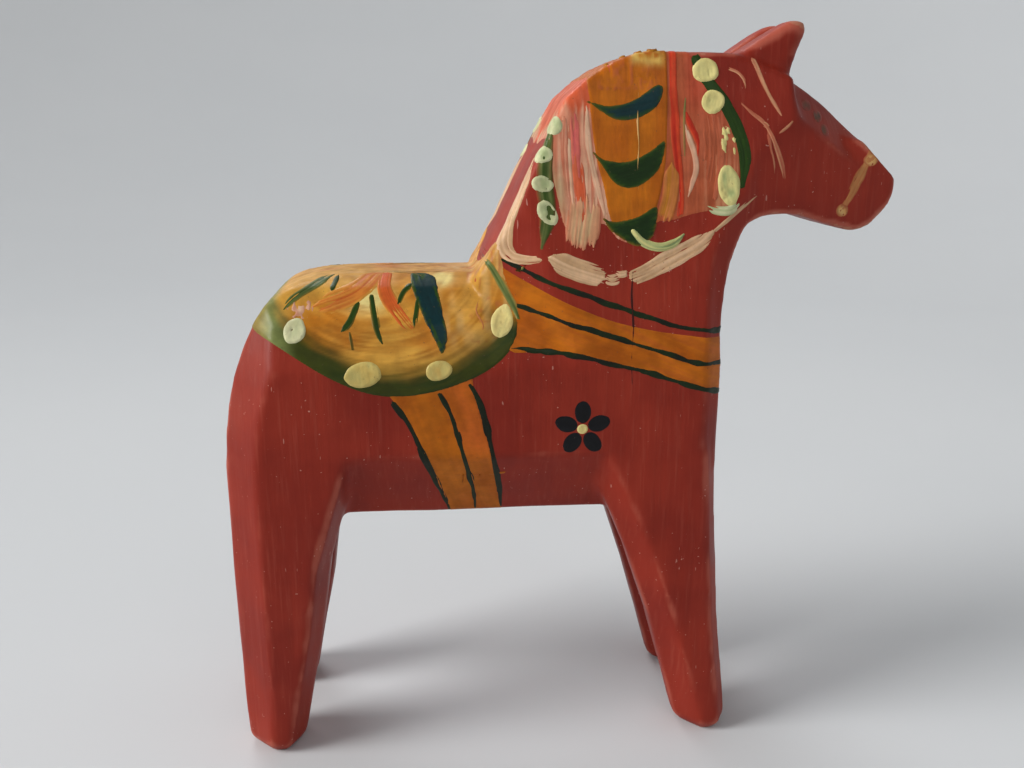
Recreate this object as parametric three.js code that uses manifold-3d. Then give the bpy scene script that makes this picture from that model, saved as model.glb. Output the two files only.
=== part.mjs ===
// A dala horse: one whittled block of pine with the paint films that are laid on it.
// Millimetres. The horse faces +X, +Z is up, and the soles of its feet stand on Z = 0.

import * as THREE from 'three';
import { mergeVertices } from 'three/addons/utils/BufferGeometryUtils.js';
import Module from 'manifold-3d';

const wasm = await Module();
wasm.setup();

// ---------- driving dimensions ----------
const halfWidth = 15;          // half the width of the block it is cut from
const bellyZ = 34;             // underside of the trunk
const backZ = 67.2;            // top of the back
const rumpX = -46;             // rearmost line of the rump and rear legs
const chestX = 20.6;           // front of the chest
const noseX = 46;              // tip of the muzzle
const crestZ = 95.9;           // top of the neck
const earZ = 100;              // tips of the ears
const earHalf = 6.4;           // half the width over the ears
const rumpBevel = 4.7;         // knife chamfer round the rump
const neckBevel = 2.2;         // knife chamfer round the neck and head
const earBevel = 0.7;          // knife chamfer round the ears
const curveSteps = 5;          // straight pieces in each curved stretch
const closest = 0.01;          // two outline points nearer than this are one
const straightest = 0.002;     // and a corner turned by less than this is none

const coatPitch = 0.2;         // each coat of paint adds this much to the surface
const coatGap = 0.04;          // left between a coat and what it lies on
const wholeWidth = 0;          // side number of a film that runs over the crest, back or chest
const right = -1;              // the horse's right side is -Y
const left = 1;

const colours = {
  red: 0x8c2f22, yellow: 0xc98a2b, orange: 0xc9822a, green: 0x3f5c2a, dark: 0x16282c,
  cream: 0xdcd6b0, pink: 0xb9745a, sage: 0x6f7a5c,
};

// ---------- outlines ----------
const point = (x, z) => new THREE.Vector2(x, z);

// Side view of the trunk: flat belly, rounded rump and an almost level back.
function trunkOutline() {
  const shape = new THREE.Shape();
  shape.moveTo(rumpX, bellyZ);
  shape.lineTo(chestX - 11, bellyZ);
  shape.lineTo(chestX - 11, backZ);
  shape.lineTo(-30, backZ);
  shape.bezierCurveTo(-36, backZ - 0.4, -39, backZ - 1.6, -41.2, backZ - 5.6);
  shape.bezierCurveTo(-44, 56.8, rumpX, 50, rumpX, 42);
  shape.closePath();
  return shape;
}

// Side view of the neck and head, down to the middle of the chest.
function neckOutline() {
  const shape = new THREE.Shape();
  shape.moveTo(-2, bellyZ);
  shape.lineTo(chestX, bellyZ);
  shape.lineTo(chestX, 54);
  shape.quadraticCurveTo(chestX + 0.6, 66, chestX + 3.6, 72.4);
  shape.quadraticCurveTo(chestX + 5.4, 76, 31.3, 74.9);
  shape.lineTo(39.6, 72.5);
  shape.quadraticCurveTo(42.2, 72.4, 44.4, 75);
  shape.quadraticCurveTo(noseX + 1.93, 79.2, 43.8, 82.5);
  shape.lineTo(36.4, 88.8);
  shape.quadraticCurveTo(32.4, 91.8, 28.4, 93.4);
  shape.lineTo(22, crestZ - 0.1);
  shape.lineTo(10.6, crestZ);
  shape.quadraticCurveTo(3, 94.6, -2.6, 87.4);
  shape.quadraticCurveTo(-7, 81.4, -10.2, 72);
  shape.quadraticCurveTo(-10.8, 69, -12.4, 66.6);
  shape.lineTo(-2, 55);
  shape.closePath();
  return shape;
}

// Side view of the two ears, with their lower ends inside the head.
function earOutline() {
  const shape = new THREE.Shape();
  shape.moveTo(25, 91);
  shape.lineTo(29.6, 91);
  shape.lineTo(30.4, 94.4);
  shape.quadraticCurveTo(31, 96.6, 32, 98.8);
  shape.lineTo(31.4, earZ - 0.1);
  shape.lineTo(29.8, earZ);
  shape.quadraticCurveTo(27.2, 98.8, 22, crestZ - 0.8);
  shape.closePath();
  return shape;
}

// Front view of the trunk, half of it: eight-sided, with broad chamfers under the belly and over the back.
const trunkSection = [
  point(8.2, bellyZ - 0.2), point(halfWidth, 44.2), point(halfWidth, 56), point(12.6, 61.8),
  point(8.4, 65.8), point(3, 68.2),
];

// Front view of the neck and head, half of it: tapered towards the crest.
const neckSection = [
  point(8.2, bellyZ - 0.2), point(halfWidth, 44.2), point(halfWidth, 55), point(14.1, 64),
  point(12.5, 73), point(10.5, 83), point(8.5, 91), point(7, 95.5), point(6.3, earZ + 2),
];

// Plan of the head, half of it: tapered towards the muzzle. x runs forward, y outward.
const headPlan = [
  point(-14, 9), point(-4, 13), point(4, 16), point(16, 17), point(20.5, 12.8), point(25, 10.4),
  point(31, 9.1), point(38, 7.6), point(noseX + 2, 5.6),
];

// ---------- solids ----------
function solidOf(geometry) {
  const bare = geometry.clone();
  bare.deleteAttribute('normal');
  bare.deleteAttribute('uv');
  const merged = mergeVertices(bare, 1e-5);
  return new wasm.Manifold(new wasm.Mesh({
    numProp: 3,
    vertProperties: new Float32Array(merged.attributes.position.array),
    triVerts: new Uint32Array(merged.index.array),
  }));
}

function geometryOf(solid) {
  const mesh = solid.getMesh();
  const geometry = new THREE.BufferGeometry();
  geometry.setAttribute('position', new THREE.BufferAttribute(new Float32Array(mesh.vertProperties), 3));
  geometry.setIndex(new THREE.BufferAttribute(new Uint32Array(mesh.triVerts), 1));
  return geometry;
}

// The corners of a closed outline, with no point given twice and none in the middle of a straight side.
function cornersOf(shape) {
  const points = shape.getPoints(curveSteps);
  const last = points.length - 1;
  const single = points.filter((p, i) => p.distanceTo(points[i === 0 ? last : i - 1]) > closest);
  return single.filter((p, i) => {
    const before = p.clone().sub(single[(i + single.length - 1) % single.length]).normalize();
    const after = single[(i + 1) % single.length].clone().sub(p).normalize();
    return Math.abs(before.cross(after)) > straightest;
  });
}

// A side view carried across the horse, -half to +half, with a chamfer all round both faces.
function acrossSolid(shape, half, bevel, grow) {
  const geometry = new THREE.ExtrudeGeometry(new THREE.Shape(cornersOf(shape)), {
    depth: 2 * (half + grow - bevel),
    bevelEnabled: true,
    bevelSegments: 1,
    bevelSize: bevel,
    bevelThickness: bevel,
    bevelOffset: grow - bevel,
  });
  geometry.translate(0, 0, bevel - half - grow);
  geometry.rotateX(Math.PI / 2);
  return solidOf(geometry);
}

// Moves every side of a closed outline outward by a distance, with mitred corners.
function outset(points, distance) {
  const count = points.length;
  const turn = THREE.ShapeUtils.isClockWise(points) ? -1 : 1;
  return points.map((corner, i) => {
    const before = corner.clone().sub(points[(i + count - 1) % count]).normalize();
    const after = points[(i + 1) % count].clone().sub(corner).normalize();
    const normalA = point(before.y, -before.x);
    const normalB = point(after.y, -after.x);
    const mitre = normalA.clone().add(normalB).normalize();
    return corner.clone().addScaledVector(mitre, turn * distance / mitre.dot(normalA));
  });
}

// Both halves of a view that is the same left and right of its second axis.
const mirrored = (half) => [...half, ...half.map((p) => point(-p.x, p.y)).reverse()];

// A front view (y, z) carried along the horse.
function alongSolid(half, grow) {
  const shape = new THREE.Shape(outset(mirrored(half), grow));
  const geometry = new THREE.ExtrudeGeometry(shape, { depth: 120, bevelEnabled: false });
  geometry.rotateX(Math.PI / 2);
  geometry.rotateZ(Math.PI / 2);
  geometry.translate(-60, 0, 0);
  return solidOf(geometry);
}

// A plan (x, y) carried up through the horse.
function uprightSolid(half, grow) {
  const both = [...half, ...half.map((p) => point(p.x, -p.y)).reverse()];
  const shape = new THREE.Shape(outset(both, grow));
  return solidOf(new THREE.ExtrudeGeometry(shape, { depth: 120, bevelEnabled: false }));
}

// ---------- legs ----------
// Each leg is an eight-sided post whose four sides follow these lines from the sole up, straight
// between two heights.
const rearLeg = [
  { z: 0, rear: -44.4, front: -38.4, inner: 5.9, outer: 12.7 },
  { z: 1.3, rear: -45.5, front: -37.4, inner: 4.9, outer: 13.8 },
  { z: 8, rear: -45.7, front: -36.1, inner: 4.7, outer: 14 },
  { z: 18, rear: -45.9, front: -34.1, inner: 4.2, outer: 14.4 },
  { z: 28, rear: rumpX, front: -32.7, inner: 3.7, outer: 14.8 },
  { z: 34, rear: rumpX, front: -30.9, inner: 3.3, outer: halfWidth },
  { z: 43, rear: rumpX, front: -28, inner: 3.3, outer: halfWidth },
  { z: 52, rear: -43.4, front: -26, inner: 3.3, outer: halfWidth - 1 },
];
const frontLeg = [
  { z: 0, rear: 18, front: 23.4, inner: 5.9, outer: 12.7 },
  { z: 1.3, rear: 16.9, front: 24.5, inner: 4.9, outer: 13.8 },
  { z: 8, rear: 15.1, front: 23.8, inner: 4.7, outer: 14 },
  { z: 18, rear: 12.2, front: 22.5, inner: 4.2, outer: 14.4 },
  { z: 28, rear: 8.9, front: 21.6, inner: 3.7, outer: 14.8 },
  { z: 34, rear: 6.4, front: 21.1, inner: 3.3, outer: halfWidth },
  { z: 43, rear: 2.2, front: chestX, inner: 3.3, outer: halfWidth },
  { z: 52, rear: 2, front: chestX - 1, inner: 3.3, outer: halfWidth - 1 },
];

// The knife chamfers down a leg's four corners: along the horse behind and in front, and across it.
const rearLegChamfer = { behind: 4.6, ahead: 1.8, across: 4.2 };
const frontLegChamfer = { behind: 3.4, ahead: 1.8, across: 3.2 };
const innerChamfer = 2.6;

// The eight corners of a leg's section, each as a place in its list of four x and of four y values.
const legCorners = [[1, 3], [0, 2], [0, 1], [1, 0], [2, 0], [3, 1], [3, 2], [2, 3]];

function legSolid(stations, chamfer, side, grow) {
  const section = new THREE.Shape(legCorners.map(([i, j]) => point(i, j)));
  const bays = stations.length - 1;
  const geometry = new THREE.ExtrudeGeometry(section, { depth: bays, steps: bays, bevelEnabled: false });
  const position = geometry.attributes.position;
  for (let i = 0; i < position.count; i += 1) {
    const at = stations[Math.round(position.getZ(i))];
    const length = at.front - at.rear;
    const across = Math.min(chamfer.across, 0.4 * (at.outer - at.inner));
    const xs = [
      at.rear - grow, at.rear + Math.min(chamfer.behind, 0.45 * length),
      at.front - Math.min(chamfer.ahead, 0.25 * length), at.front + grow,
    ];
    const ys = [
      at.inner - grow, at.inner + Math.min(innerChamfer, across),
      at.outer - across, at.outer + grow,
    ];
    position.setXYZ(i, xs[Math.round(position.getX(i))], ys[Math.round(position.getY(i))], at.z);
  }
  const solid = solidOf(geometry);
  return side > 0 ? solid : solid.mirror([0, 1, 0]);
}

// The V that parts the two ears.
function earNotch(grow) {
  const vee = new THREE.Shape([
    point(0, crestZ - 0.9 + grow), point(3.4, earZ + 3), point(-3.4, earZ + 3),
  ]);
  const geometry = new THREE.ExtrudeGeometry(vee, { depth: 20, bevelEnabled: false });
  geometry.rotateX(Math.PI / 2);
  geometry.rotateZ(Math.PI / 2);
  geometry.translate(20, 0, 0);
  return solidOf(geometry);
}

// ---------- the whole block, grown outward by a distance ----------
function carve(grow) {
  const trunk = acrossSolid(trunkOutline(), halfWidth, rumpBevel, grow)
    .intersect(alongSolid(trunkSection, grow));
  const neck = acrossSolid(neckOutline(), halfWidth, neckBevel, grow)
    .add(acrossSolid(earOutline(), earHalf, earBevel, grow))
    .intersect(alongSolid(neckSection, grow))
    .intersect(uprightSolid(headPlan, grow))
    .subtract(earNotch(grow));
  let block = trunk.add(neck);
  for (const side of [-1, 1]) {
    block = block.add(legSolid(rearLeg, rearLegChamfer, side, grow));
    block = block.add(legSolid(frontLeg, frontLegChamfer, side, grow));
  }
  return block;
}

// ---------- paint films ----------
// Each coat is the gap between two sizes of the block, so it follows every facet beneath it.
const coats = [1, 2, 3].map((level) => (
  carve(level * coatPitch).subtract(carve((level - 1) * coatPitch + coatGap))
));

// A side view outline (x, z) carried through one side of the horse, or through both.
function throughSolid(outline, side) {
  const reach = halfWidth + 3;
  const depth = side === wholeWidth ? 2 * reach : reach;
  const geometry = new THREE.ExtrudeGeometry(new THREE.Shape(outline), { depth, bevelEnabled: false });
  geometry.rotateX(Math.PI / 2);
  geometry.translate(0, side === right ? 0 : reach, 0);
  return solidOf(geometry);
}

const filmSolid = (outline, side, level) => coats[level - 1].intersect(throughSolid(outline, side));

// The outline of one brush stroke: a ribbon along a smooth curve, full in the middle and
// narrowed at each end to a share of its width.
function stroke(spine, width, startShare = 0.5, endShare = 0.5, pieces = 3 * spine.length) {
  const curve = new THREE.SplineCurve(spine.map(([x, z]) => point(x, z)));
  const upper = [];
  const lower = [];
  for (let i = 0; i <= pieces; i += 1) {
    const t = i / pieces;
    const centre = curve.getPoint(t);
    const along = curve.getTangent(t);
    const share = Math.min(1, startShare + 4 * t, endShare + 4 * (1 - t));
    const across = point(-along.y, along.x).multiplyScalar(0.5 * width * share);
    upper.push(centre.clone().add(across));
    lower.unshift(centre.clone().sub(across));
  }
  return [...upper, ...lower];
}

// The outline of one round dab of paint, taller than wide or the other way round.
function dab(x, z, width, height, sides = 14) {
  return Array.from({ length: sides }, (_, i) => {
    const angle = (i * 2 * Math.PI) / sides;
    return point(x + 0.5 * width * Math.cos(angle), z + 0.5 * height * Math.sin(angle));
  });
}

// A new moon that hangs between two tips, thickest at its lowest point.
function crescent(tipA, tipB, lowX, lowZ, thickness) {
  const shape = new THREE.Shape();
  shape.moveTo(...tipA);
  const bendX = 2 * lowX - (tipA[0] + tipB[0]) / 2;
  const bendZ = 2 * lowZ - (tipA[1] + tipB[1]) / 2;
  shape.quadraticCurveTo(bendX, bendZ, ...tipB);
  shape.quadraticCurveTo(bendX, bendZ + 2 * thickness, ...tipA);
  return cornersOf(shape);
}

// A flower of five round petals about one centre.
function flower(x, z, radius, petals = 5, steps = 50) {
  return Array.from({ length: steps }, (_, i) => {
    const angle = (i * 2 * Math.PI) / steps;
    const reach = radius * (0.5 + 0.5 * Math.sqrt(Math.abs(Math.cos(0.5 * petals * angle))));
    return point(x + reach * Math.cos(angle), z + reach * Math.sin(angle));
  });
}

const outlineOf = (...corners) => corners.map(([x, z]) => point(x, z));

// Films that run over the crest, the back, the nose or the chest, one node each.
const saddle = outlineOf(
  [-42, 63.4], [-40.9, 61.5], [-38.2, 59.5], [-34.9, 57.4], [-29.3, 54.2], [-23.6, 52.6], [-18.5, 53],
  [-13.3, 54.6], [-8.9, 57.3], [-6.9, 60.4], [-7.3, 63.4], [-9.2, 66.6], [-11.2, 69.2], [-11.6, 73],
  [-42, 73],
);
const collar = outlineOf(
  [-8, 67.9], [-3.7, 66], [0.2, 64], [4.3, 62.4], [7.7, 61.3], [12.8, 60.3], [18.9, 59.5], [24, 59],
  [24, 50.6], [19, 52], [16.4, 52.9], [12.5, 54.3], [7.1, 55.8], [1.1, 57.3], [-3.3, 58], [-7.2, 58.4],
  [-6.2, 60.4], [-6.6, 63.6],
);
const maneField = outlineOf(
  [3, 99], [0.9, 90.7], [-1.4, 87.3], [-1.5, 81], [-0.7, 75.5], [0.6, 72.2], [3.8, 71], [8.2, 71.7],
  [12.4, 74.2], [21.6, 76.4], [22.6, 79.5], [22.6, 83], [21.8, 87], [19.4, 90.6], [16.4, 95], [15, 99],
);
const manePanel = outlineOf(
  [3.4, 99], [2.6, 92.6], [2.4, 89.6], [3.4, 81.3], [5.1, 74.8], [8.2, 72.4], [11.3, 76], [12.8, 81.3],
  [12.6, 87.6], [12, 93.5], [11.6, 99],
);
const lineWidth = 0.9;
const wrappedFilms = {
  saddle_cloth: [saddle, 1, 'yellow'],
  collar_band: [collar, 1, 'yellow'],
  collar_line_upper: [
    stroke([[-10, 70], [-6.8, 68.9], [-1.7, 66.9], [3.3, 64.9], [7.7, 63.4], [12.3, 61.9], [17.6, 60.8],
      [24, 60.3]], lineWidth, 0.5, 1), 1, 'dark'],
  collar_line_middle: [
    stroke([[-8, 64.4], [-4.6, 63.2], [0.2, 61.4], [3.9, 60.4], [7.7, 59.2], [12.8, 57.5], [17, 56.2],
      [24, 55.6]], lineWidth, 0.5, 1), 2, 'green'],
  collar_line_lower: [
    stroke([[-6.6, 58.9], [-3.3, 58.4], [1.1, 57.7], [7.1, 56.2], [12.5, 54.7], [16.4, 53.4], [19, 52.6],
      [24, 51.4]], lineWidth, 0.5, 1), 2, 'dark'],
  mane_field: [maneField, 1, 'pink'],
  mane_panel: [manePanel, 2, 'orange'],
  noseband: [
    stroke([[43.6, 85.6], [41.5, 82.7], [41.1, 80.7], [40.2, 79.2], [38.8, 76.8]], 1.1, 1, 0.5),
    1, 'cream'],
};

// Films of one side view, each laid on the horse's right and again on its left.
const pairedFilms = {
  saddle_dot_1: [dab(-35.8, 61.1, 2.6, 2.7), 2, 'cream'],
  saddle_dot_2: [dab(-27, 55.6, 4.6, 3.3), 2, 'cream'],
  saddle_dot_3: [dab(-17.3, 55.9, 3.6, 2.6), 2, 'cream'],
  saddle_dot_4: [dab(-8.9, 61.7, 3.1, 3.7), 2, 'cream'],
  saddle_leaf: [stroke([[-18.9, 66.7], [-18.4, 64], [-17.4, 61], [-16.7, 58.5]], 2.6, 0.9, 0.1), 2, 'dark'],
  girth_band: [
    outlineOf([-23.7, 52.1], [-21.5, 49.2], [-20, 45.3], [-18.6, 41.2], [-16.8, 36.9], [-16.1, 34.8],
      [-8.7, 34.8], [-9.3, 39.5], [-10.2, 44.6], [-11.9, 51.9], [-13, 54.2], [-18.5, 52.5], [-23.2, 52.1]),
    1, 'yellow'],
  girth_line_1: [
    stroke([[-23.2, 51.4], [-21.2, 48.6], [-19.7, 45.1], [-18.2, 41], [-16.6, 36.9], [-16, 35.2]],
      lineWidth),
    2, 'dark'],
  girth_line_2: [
    stroke([[-17, 52.4], [-15.9, 50.3], [-14.8, 46.5], [-13.9, 43.2], [-12.9, 38.9], [-12.5, 35.2]],
      lineWidth),
    2, 'dark'],
  girth_line_3: [
    stroke([[-13.1, 53.6], [-12.1, 51], [-11.2, 47.7], [-10.5, 44.6], [-9.6, 39.5], [-9, 35.2]], lineWidth),
    2, 'dark'],
  mane_crescent_1: [crescent([2.7, 90.2], [12.2, 92.2], 7.8, 87.9, 1.8), 3, 'dark'],
  mane_crescent_2: [crescent([3.4, 83.2], [12.6, 84.6], 7.9, 79.2, 2), 3, 'green'],
  mane_crescent_3: [crescent([4.8, 75.8], [11, 76.4], 8.1, 72.9, 1.9), 3, 'green'],
  mane_front_dot_1: [dab(17.9, 93.8, 3.4, 2.6), 3, 'cream'],
  mane_front_dot_2: [dab(18.8, 89.7, 2.9, 3.2), 3, 'cream'],
  mane_front_dot_3: [dab(20.8, 84.4, 2.4, 3.6), 3, 'cream'],
  mane_front_dot_4: [dab(20.7, 78.8, 3, 4.8), 3, 'cream'],
  mane_front_arc: [
    stroke([[17.4, 94.6], [20, 90], [22.2, 86], [23, 82.4], [22.4, 78.6]], 1.7, 0.4, 0.3),
    2, 'green'],
  mane_rear_dot_1: [dab(-1.8, 86.4, 2.6, 2.5), 3, 'cream'],
  mane_rear_dot_2: [dab(-2.8, 82.7, 2.8, 2.3), 3, 'cream'],
  mane_rear_dot_3: [dab(-2.7, 79.1, 2.5, 2.1), 3, 'cream'],
  mane_rear_dot_4: [dab(-2.6, 75.7, 2.6, 2.9), 3, 'cream'],
  mane_rear_stem: [stroke([[-1.9, 86], [-2.4, 82.3], [-2.6, 77.3], [-3.4, 71.6]], 1.7, 0.4, 0.2), 2, 'green'],
  garland: [
    stroke([[-4.7, 82.4], [-5.4, 79], [-7.1, 74.8], [-7.7, 71.6], [-6.3, 69.9], [-3.4, 69.8], [-0.2, 68.6],
      [3.8, 67.4], [8, 67.6], [12.3, 69.4], [17, 71.7], [20, 74], [22.8, 75.8]], 1.5, 0.4, 0.2),
    1, 'cream'],
  bridle: [
    stroke([[24, 89.6], [25.4, 87.4], [26.4, 86], [27.6, 83.2], [28.8, 79]], 0.9, 0.4, 0.3),
    1, 'cream'],
  eye: [stroke([[31.4, 88.6], [33, 87.4], [34.2, 85.8]], 1.3, 0.7, 0.7), 1, 'sage'],
};

// ---------- scene ----------
function part(name, solid, colour, roughness) {
  const material = new THREE.MeshStandardMaterial({ color: colours[colour], roughness, metalness: 0 });
  const mesh = new THREE.Mesh(geometryOf(solid), material);
  mesh.name = name;
  return mesh;
}

const paintRoughness = 0.35;
const horse = new THREE.Group();
horse.add(part('carved_block', carve(0), 'red', 0.45));

for (const [name, [outline, level, colour]] of Object.entries(wrappedFilms)) {
  horse.add(part(name, filmSolid(outline, wholeWidth, level), colour, paintRoughness));
}
for (const [name, [outline, level, colour]] of Object.entries(pairedFilms)) {
  horse.add(part(`${name}_right`, filmSolid(outline, right, level), colour, paintRoughness));
  horse.add(part(`${name}_left`, filmSolid(outline, left, level), colour, paintRoughness));
}
horse.add(part('flank_flower', filmSolid(flower(1.6, 47.6, 3.8), right, 1), 'dark', paintRoughness));

export default horse;
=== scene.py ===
import bpy
import numpy as np
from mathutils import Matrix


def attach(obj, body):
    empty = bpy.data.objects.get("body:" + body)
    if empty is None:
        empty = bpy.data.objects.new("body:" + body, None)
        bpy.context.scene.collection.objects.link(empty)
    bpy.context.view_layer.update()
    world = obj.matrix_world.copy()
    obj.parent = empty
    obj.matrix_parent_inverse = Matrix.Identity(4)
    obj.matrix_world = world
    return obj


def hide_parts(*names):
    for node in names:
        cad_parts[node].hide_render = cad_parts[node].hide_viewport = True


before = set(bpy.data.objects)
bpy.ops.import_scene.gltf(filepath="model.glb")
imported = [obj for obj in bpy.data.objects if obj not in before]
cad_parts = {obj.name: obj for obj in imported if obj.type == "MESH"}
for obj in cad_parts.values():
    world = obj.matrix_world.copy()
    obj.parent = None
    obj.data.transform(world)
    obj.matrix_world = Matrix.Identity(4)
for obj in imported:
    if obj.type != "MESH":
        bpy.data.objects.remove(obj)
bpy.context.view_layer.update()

# A carved and painted wooden horse. The wood is a merged, remeshed and hand-softened copy of the CAD block,
# and every coat and brush stroke is a thin closed film whose height is worked out on a grid and laid on it.
# Lengths in the dictionaries are millimetres, as on the bench. Meshes are in metres.

mm = 0.001
scene = bpy.context.scene
sides = {-1: "right", 1: "left"}


def linear(red, green, blue):  # display colour 0..255 to linear light, by the usual 2.4 power law
    c = np.array([red, green, blue], float) / 255
    return np.where(c < 0.04045, c / 12.92, ((c + 0.055) / 1.055) ** 2.4)


def ease(x):  # 0 below 0, 1 above 1, and 3x^2 - 2x^3 between
    x = np.clip(x, 0, 1)
    return x * x * (3 - 2 * x)


def between(x, start, full):  # eased from 0 at start to 1 at full, which may lie either way
    return ease((x - start) / (full - start))


def blend(a, b, share):  # two colours or two grids of colours, mixed by a grid of shares
    share = np.asarray(share)[..., None]
    return a * (1 - share) + b * share


def noise(u, v, seed):  # random values on a square lattice, eased between its corners, -1..1
    size = 97
    table = np.random.default_rng(seed).uniform(-1, 1, (size, size))
    iu, iv = np.floor(u).astype(int), np.floor(v).astype(int)
    fu, fv = ease(u - iu), ease(v - iv)
    near = table[iu % size, iv % size] * (1 - fu) + table[(iu + 1) % size, iv % size] * fu
    far = table[iu % size, (iv + 1) % size] * (1 - fu) + table[(iu + 1) % size, (iv + 1) % size] * fu
    return near * (1 - fv) + far * fv


def layers(u, v, seed, count=3):  # the same noise summed at doubled pitch and halved strength
    return sum(noise(u * 2 ** k, v * 2 ** k, seed + k) / 2 ** k for k in range(count)) / 1.6


def newMesh(name, verts, quads, smooth=True):  # whole arrays straight into a mesh
    mesh = bpy.data.meshes.new(name)
    mesh.vertices.add(len(verts))
    mesh.vertices.foreach_set("co", np.ascontiguousarray(verts, np.float32).ravel())
    mesh.loops.add(quads.size)
    mesh.loops.foreach_set("vertex_index", quads.ravel().astype(np.int32))
    mesh.polygons.add(len(quads))
    mesh.polygons.foreach_set("loop_start", np.arange(0, quads.size, 4, dtype=np.int32))
    mesh.update(calc_edges=True)
    mesh.polygons.foreach_set("use_smooth", np.full(len(quads), smooth))
    return mesh


def addObject(name, mesh):  # a mesh, light or camera put in the scene at the origin
    thing = bpy.data.objects.new(name, mesh)
    scene.collection.objects.link(thing)
    return thing


def evaluated(thing):  # vertex places and normals after the live modifiers
    view = thing.evaluated_get(bpy.context.evaluated_depsgraph_get())
    mesh = view.to_mesh()
    places = np.empty(len(mesh.vertices) * 3)
    mesh.vertices.foreach_get("co", places)
    normals = np.empty(len(mesh.vertices) * 3)
    mesh.vertex_normals.foreach_get("vector", normals)
    view.to_mesh_clear()
    return places.reshape(-1, 3), normals.reshape(-1, 3)


camera = dict(place=(-19.0, -140.63, 86.64), pitch=14.52, yaw=5.09, lens=35.156, sensor=36)


def makeCamera():  # pitch is how far it looks down, yaw how far it turns towards the head, in degrees
    data = bpy.data.cameras.new("camera")
    data.lens = camera["lens"]
    data.sensor_width = camera["sensor"]
    data.clip_start = 0.01
    thing = addObject("camera", data)
    thing.location = np.array(camera["place"]) * mm
    thing.rotation_euler = (np.radians(90 - camera["pitch"]), 0, -np.radians(camera["yaw"]))
    scene.camera = thing


wood = dict(
    voxel=0.47,  # remesh pitch
    softRounds=4, softShare=0.4,  # how far the knife edges are rubbed down
    browCut=[(29.2, 9.2, 88.6), (43.2, 6.7, 78.7), (33, 3.9, 91.3)],  # three places on the brow facet
    browRun=(29.6, 31.6, 38.5, 42.5),  # where the facet starts, is whole, fades and ends
    browTop=(94.2, 93.0),  # how high it goes, and from where it is whole
    noseCut=[(40.5, 84.2), (44.2, 80.9)],  # two places on the slope down to the nose
    noseRun=(41.0, 42.6),  # where the slope starts and is whole
    # how far the back of the neck and the throat are hollowed at each height, and where that fades in and out
    napeCut=([68, 71, 74, 78, 84, 87, 90.5], [0, 0.6, 1.3, 1.6, 1.5, 1.0, 0]), napeRun=(5, -3),
    throatCut=([54, 62, 68, 74, 77.5], [0, 0.8, 1.2, 1.2, 0]), throatRun=(11, 18, 26.5, 29),
    waver=0.10, waverPitch=9.0,  # slow unevenness of a hand-cut face
    grain=0.022, grainPitch=(0.9, 0.9, 14.0),  # fine upright ridges under the paint
    soleHeight=2.5,  # both fade out below this, so the soles stay flat
    edgeRounds=12, edgeProud=(0.03, 0.15),  # how wide an edge is looked for, and how proud it stands
    paintedSheen=0.36,  # how much of the full wear the painted sheen gives the facets that look along the horse and up
)


def neighbours(mesh):  # the two ends of every edge
    pairs = np.empty(len(mesh.edges) * 2, np.int32)
    mesh.edges.foreach_get("vertices", pairs)
    return pairs.reshape(-1, 2)


def soften(places, pairs, rounds, share):  # each vertex moves a share of the way to its neighbours' mean
    count = np.bincount(pairs.ravel(), minlength=len(places))[:, None]
    for _ in range(rounds):
        total = np.zeros_like(places)
        for axis in range(3):
            total[:, axis] = np.bincount(pairs[:, 0], places[pairs[:, 1], axis], len(places))
            total[:, axis] += np.bincount(pairs[:, 1], places[pairs[:, 0], axis], len(places))
        places = places + share * (total / count - places)
    return places


def shave(places, side):
    # what stands outside the plane through three places is pared down to it, between the ears and the nose
    a, b, c = (np.array(place) * [1, side, 1] for place in wood["browCut"])
    n = np.cross(b - a, c - a)
    n = n / np.linalg.norm(n) * np.sign(n[2])
    x, z = places[:, 0], places[:, 2]
    start, full, fade, end = wood["browRun"]
    share = between(x, start, full) * between(x, end, fade) * between(z, *wood["browTop"])
    places = places - (np.maximum((places - a) @ n, 0) * share)[:, None] * n
    # the nose slopes down along a line of the side view
    (x0, z0), (x1, z1) = wood["noseCut"]
    over = np.maximum(z - z0 - (x - x0) * (z1 - z0) / (x1 - x0), 0)
    places[:, 2] -= over * between(x, *wood["noseRun"])
    return places


def hollow(places):  # the back of the neck moves forward and the throat back, each fading out along the horse
    x, z = places[:, 0], places[:, 2]
    nape = np.interp(z, *wood["napeCut"]) * between(x, *wood["napeRun"])
    start, full, fade, end = wood["throatRun"]
    throat = np.interp(z, *wood["throatCut"]) * between(x, start, full) * between(x, end, fade)
    places[:, 0] += nape - throat
    return places


def remeshBlock():  # the CAD block with its doubles merged and its skin made anew of small even squares
    copy = addObject("blockCopy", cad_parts["carved_block"].data.copy())
    copy.modifiers.new("weld", "WELD").merge_threshold = 1e-6
    remesh = copy.modifiers.new("remesh", "REMESH")
    remesh.mode = "VOXEL"
    remesh.voxel_size = wood["voxel"] * mm
    view = copy.evaluated_get(bpy.context.evaluated_depsgraph_get())
    mesh = bpy.data.meshes.new_from_object(view)
    bpy.data.objects.remove(copy)
    return mesh


def unevenness(x, y, z, sideSeed):  # slow noise over the faces, and fine noise drawn out along the grain
    pitch = wood["waverPitch"]
    slow = layers(x / pitch + sideSeed, z / pitch, 3, 2) + 0.5 * layers(z / pitch, y / pitch + 5, 8, 2)
    gx, gy, gz = wood["grainPitch"]
    fine = layers(x / gx + sideSeed, z / gz, 21, 2) + layers(y / gy, z / gz + 9, 27, 2)
    return (wood["waver"] * slow + wood["grain"] * fine) * ease(z / wood["soleHeight"])


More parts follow.
